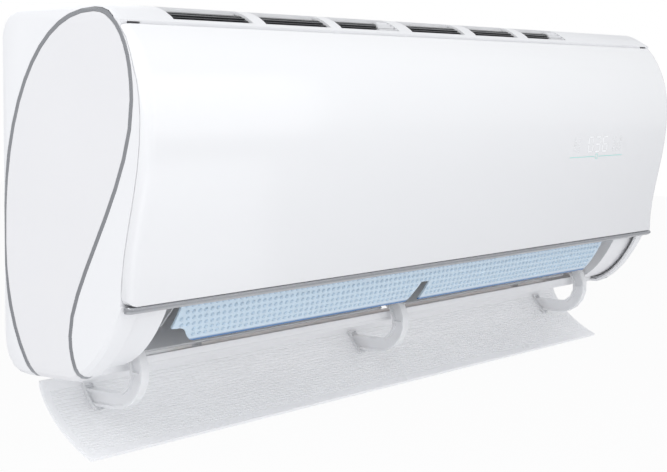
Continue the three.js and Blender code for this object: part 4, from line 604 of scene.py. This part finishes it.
# slab, the y and z where its fins start and end, and the way its face looks
COIL_FACES = (
    ("evaporator_front_lower", (-140.3, -58), (-140.3, 46), (-1, 0)),
    ("evaporator_front_upper", (-139.3, 59.5), (-95.5, 110.7), (-0.77, 0.64)),
    ("evaporator_rear", (-31.2, 56.5), (-69, 111.3), (0.82, 0.57)),
)
FIN_COUNT = 330
FIN_FIRST = -398
FIN_PITCH = 2.25
FIN_WIDTH = 0.35
FIN_DEPTH = 0.5


def coil_fins(materials):
    """Thin upright fins along the faces of the three coil slabs."""
    for name, start, end, side in COIL_FACES:
        skin = surface(name)
        out = Vector((0, *side)).normalized()
        foot, head = (
            skin.ray_cast(at(-25, y, z) + out * 0.06, -out, 0.12)[0] for y, z in (start, end)
        )
        shape = Shape()
        for i in range(FIN_COUNT):
            shift = Vector((FIN_FIRST * MM + i * FIN_PITCH * MM - foot.x, 0, 0))
            shape.bar(foot + shift, head + shift, FIN_WIDTH * MM, FIN_DEPTH * MM, out)
        shape.piece(name + "_fins", materials["fin_edge"], "casing")


# centre and width of each rib between the intake's bays
INTAKE_RIBS = ((-311, 19), (-191, 18), (-68, 24), (60, 23), (176, 23))
INTAKE_LEFT = -430
INTAKE_RIGHT = 280
BLADE_ROWS = (-151.5, -147.5, -143.5, -139.5)
BLOCK_ROWS = (-150, -145.5, -141, -136.5)


def intake_depths(materials):
    """Long black blades under the front intake openings, with pale rails and struts behind them."""
    skin = surface("top_filter")
    blades = Shape()
    rails = Shape()
    lift = Vector((0, 0, 0.0014))
    sides = [x + side * width / 2 for x, width in INTAKE_RIBS for side in (-1, 1)]
    edges = [INTAKE_LEFT, *sides, INTAKE_RIGHT]
    up = Vector((0, 0, 1))

    def under(x, y):
        return skin.ray_cast(at(x, y, 220), Vector((0, 0, -1)), 0.2)[0]

    def laid(shape, start, end, width, depth, facing=up):
        shape.bar(under(*start) + lift, under(*end) + lift, width * MM, depth * MM, facing)

    for left, right in zip(edges[::2], edges[1::2]):
        for y in BLADE_ROWS:
            laid(blades, (left + 1.5, y), (right - 1.5, y), 3.4, 1.0, Vector((0, -0.35, 1)))
        laid(rails, (left + 2, -131), (right - 2, -131), 1.8, 3.0)
        laid(rails, (left + 2, -135.5), (right - 2, -130.5), 0.9, 2.6)
        laid(rails, (left + 2, -130.5), (right - 30, -135.5), 0.9, 2.6)
    for right in (edges[5], edges[11]):
        for y in BLOCK_ROWS:
            laid(rails, (right - 34 + (150 + y), y), (right - 1.5, y), 4.4, 3.2)
    blades.piece("intake_blades", materials["black_gloss"], "casing")
    rails.piece("intake_rails", materials["white_plastic"], "casing")


def screw_recesses(materials):
    """A dark cross on the head of each of the frame's screws, painted shade standing in for the hollow of
    its cross recess.
    """
    shape = Shape()
    along = Vector((1, 0, 0))
    for name in ("frame_screw_left", "frame_screw_right"):
        low, high = (Vector(corner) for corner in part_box(name))
        skin = surface(name)
        middle = (low + high) / 2
        for out in (Vector((0, -1, 0)), Vector((0, 0, -1))):
            hit, normal, _, _ = skin.ray_cast(middle + out * 0.05, -out, 0.1)
            if hit is None or normal.dot(out) < 0.9:
                continue
            for arm in (along, along.cross(out)):
                half = arm * 1.7 * MM
                shape.bar(hit - half, hit + half, 0.7 * MM, 0.1 * MM, out)
            break
    shape.piece("screw_recesses", materials["recess_painted_shade"], "casing")


def extra_materials(materials):
    """Finishes of the modelled detail."""
    # the beads are the louver's plastic, painted a little darker as shade on the domes
    materials["louver_beads_painted_shade"] = clear_plastic("louver_beads_painted_shade", (0.56, 0.71, 0.85), 0.1, 0.1)
    materials["display_white"] = plastic("display_white", (0.97, 0.975, 0.985), 0.3, 400.0, 0.02)
    materials["display_mint"] = plastic("display_mint", (0.42, 0.80, 0.74), 0.3, 400.0, 0.02)
    materials["net_thread"] = plastic("net_thread", (0.10, 0.105, 0.115), 0.5, 2400.0, 0.2, drift=0.03)
    materials["fin_edge"] = metal("fin_edge", (0.80, 0.82, 0.85), 0.3, (30.0, 60.0, 700.0), 0.06)
    materials["black_gloss"] = plastic("black_gloss", (0.02, 0.021, 0.024), 0.22, 900.0, 0.06, drift=0.006)
    # painted shade for the screws' cross recesses
    materials["recess_painted_shade"] = metal("recess_painted_shade", (0.10, 0.10, 0.11), 0.5, (500.0, 500.0, 500.0), 0.1)


add_camera()
add_world()
add_floor()
add_lights()
materials = make_materials()
dress_frame(materials)
extra_materials(materials)
louver_bumps(materials)
display(materials)
filter_net(materials, "left_filter", -458, -8)
filter_net(materials, "right_filter", 8, 352)
coil_fins(materials)
intake_depths(materials)
screw_recesses(materials)
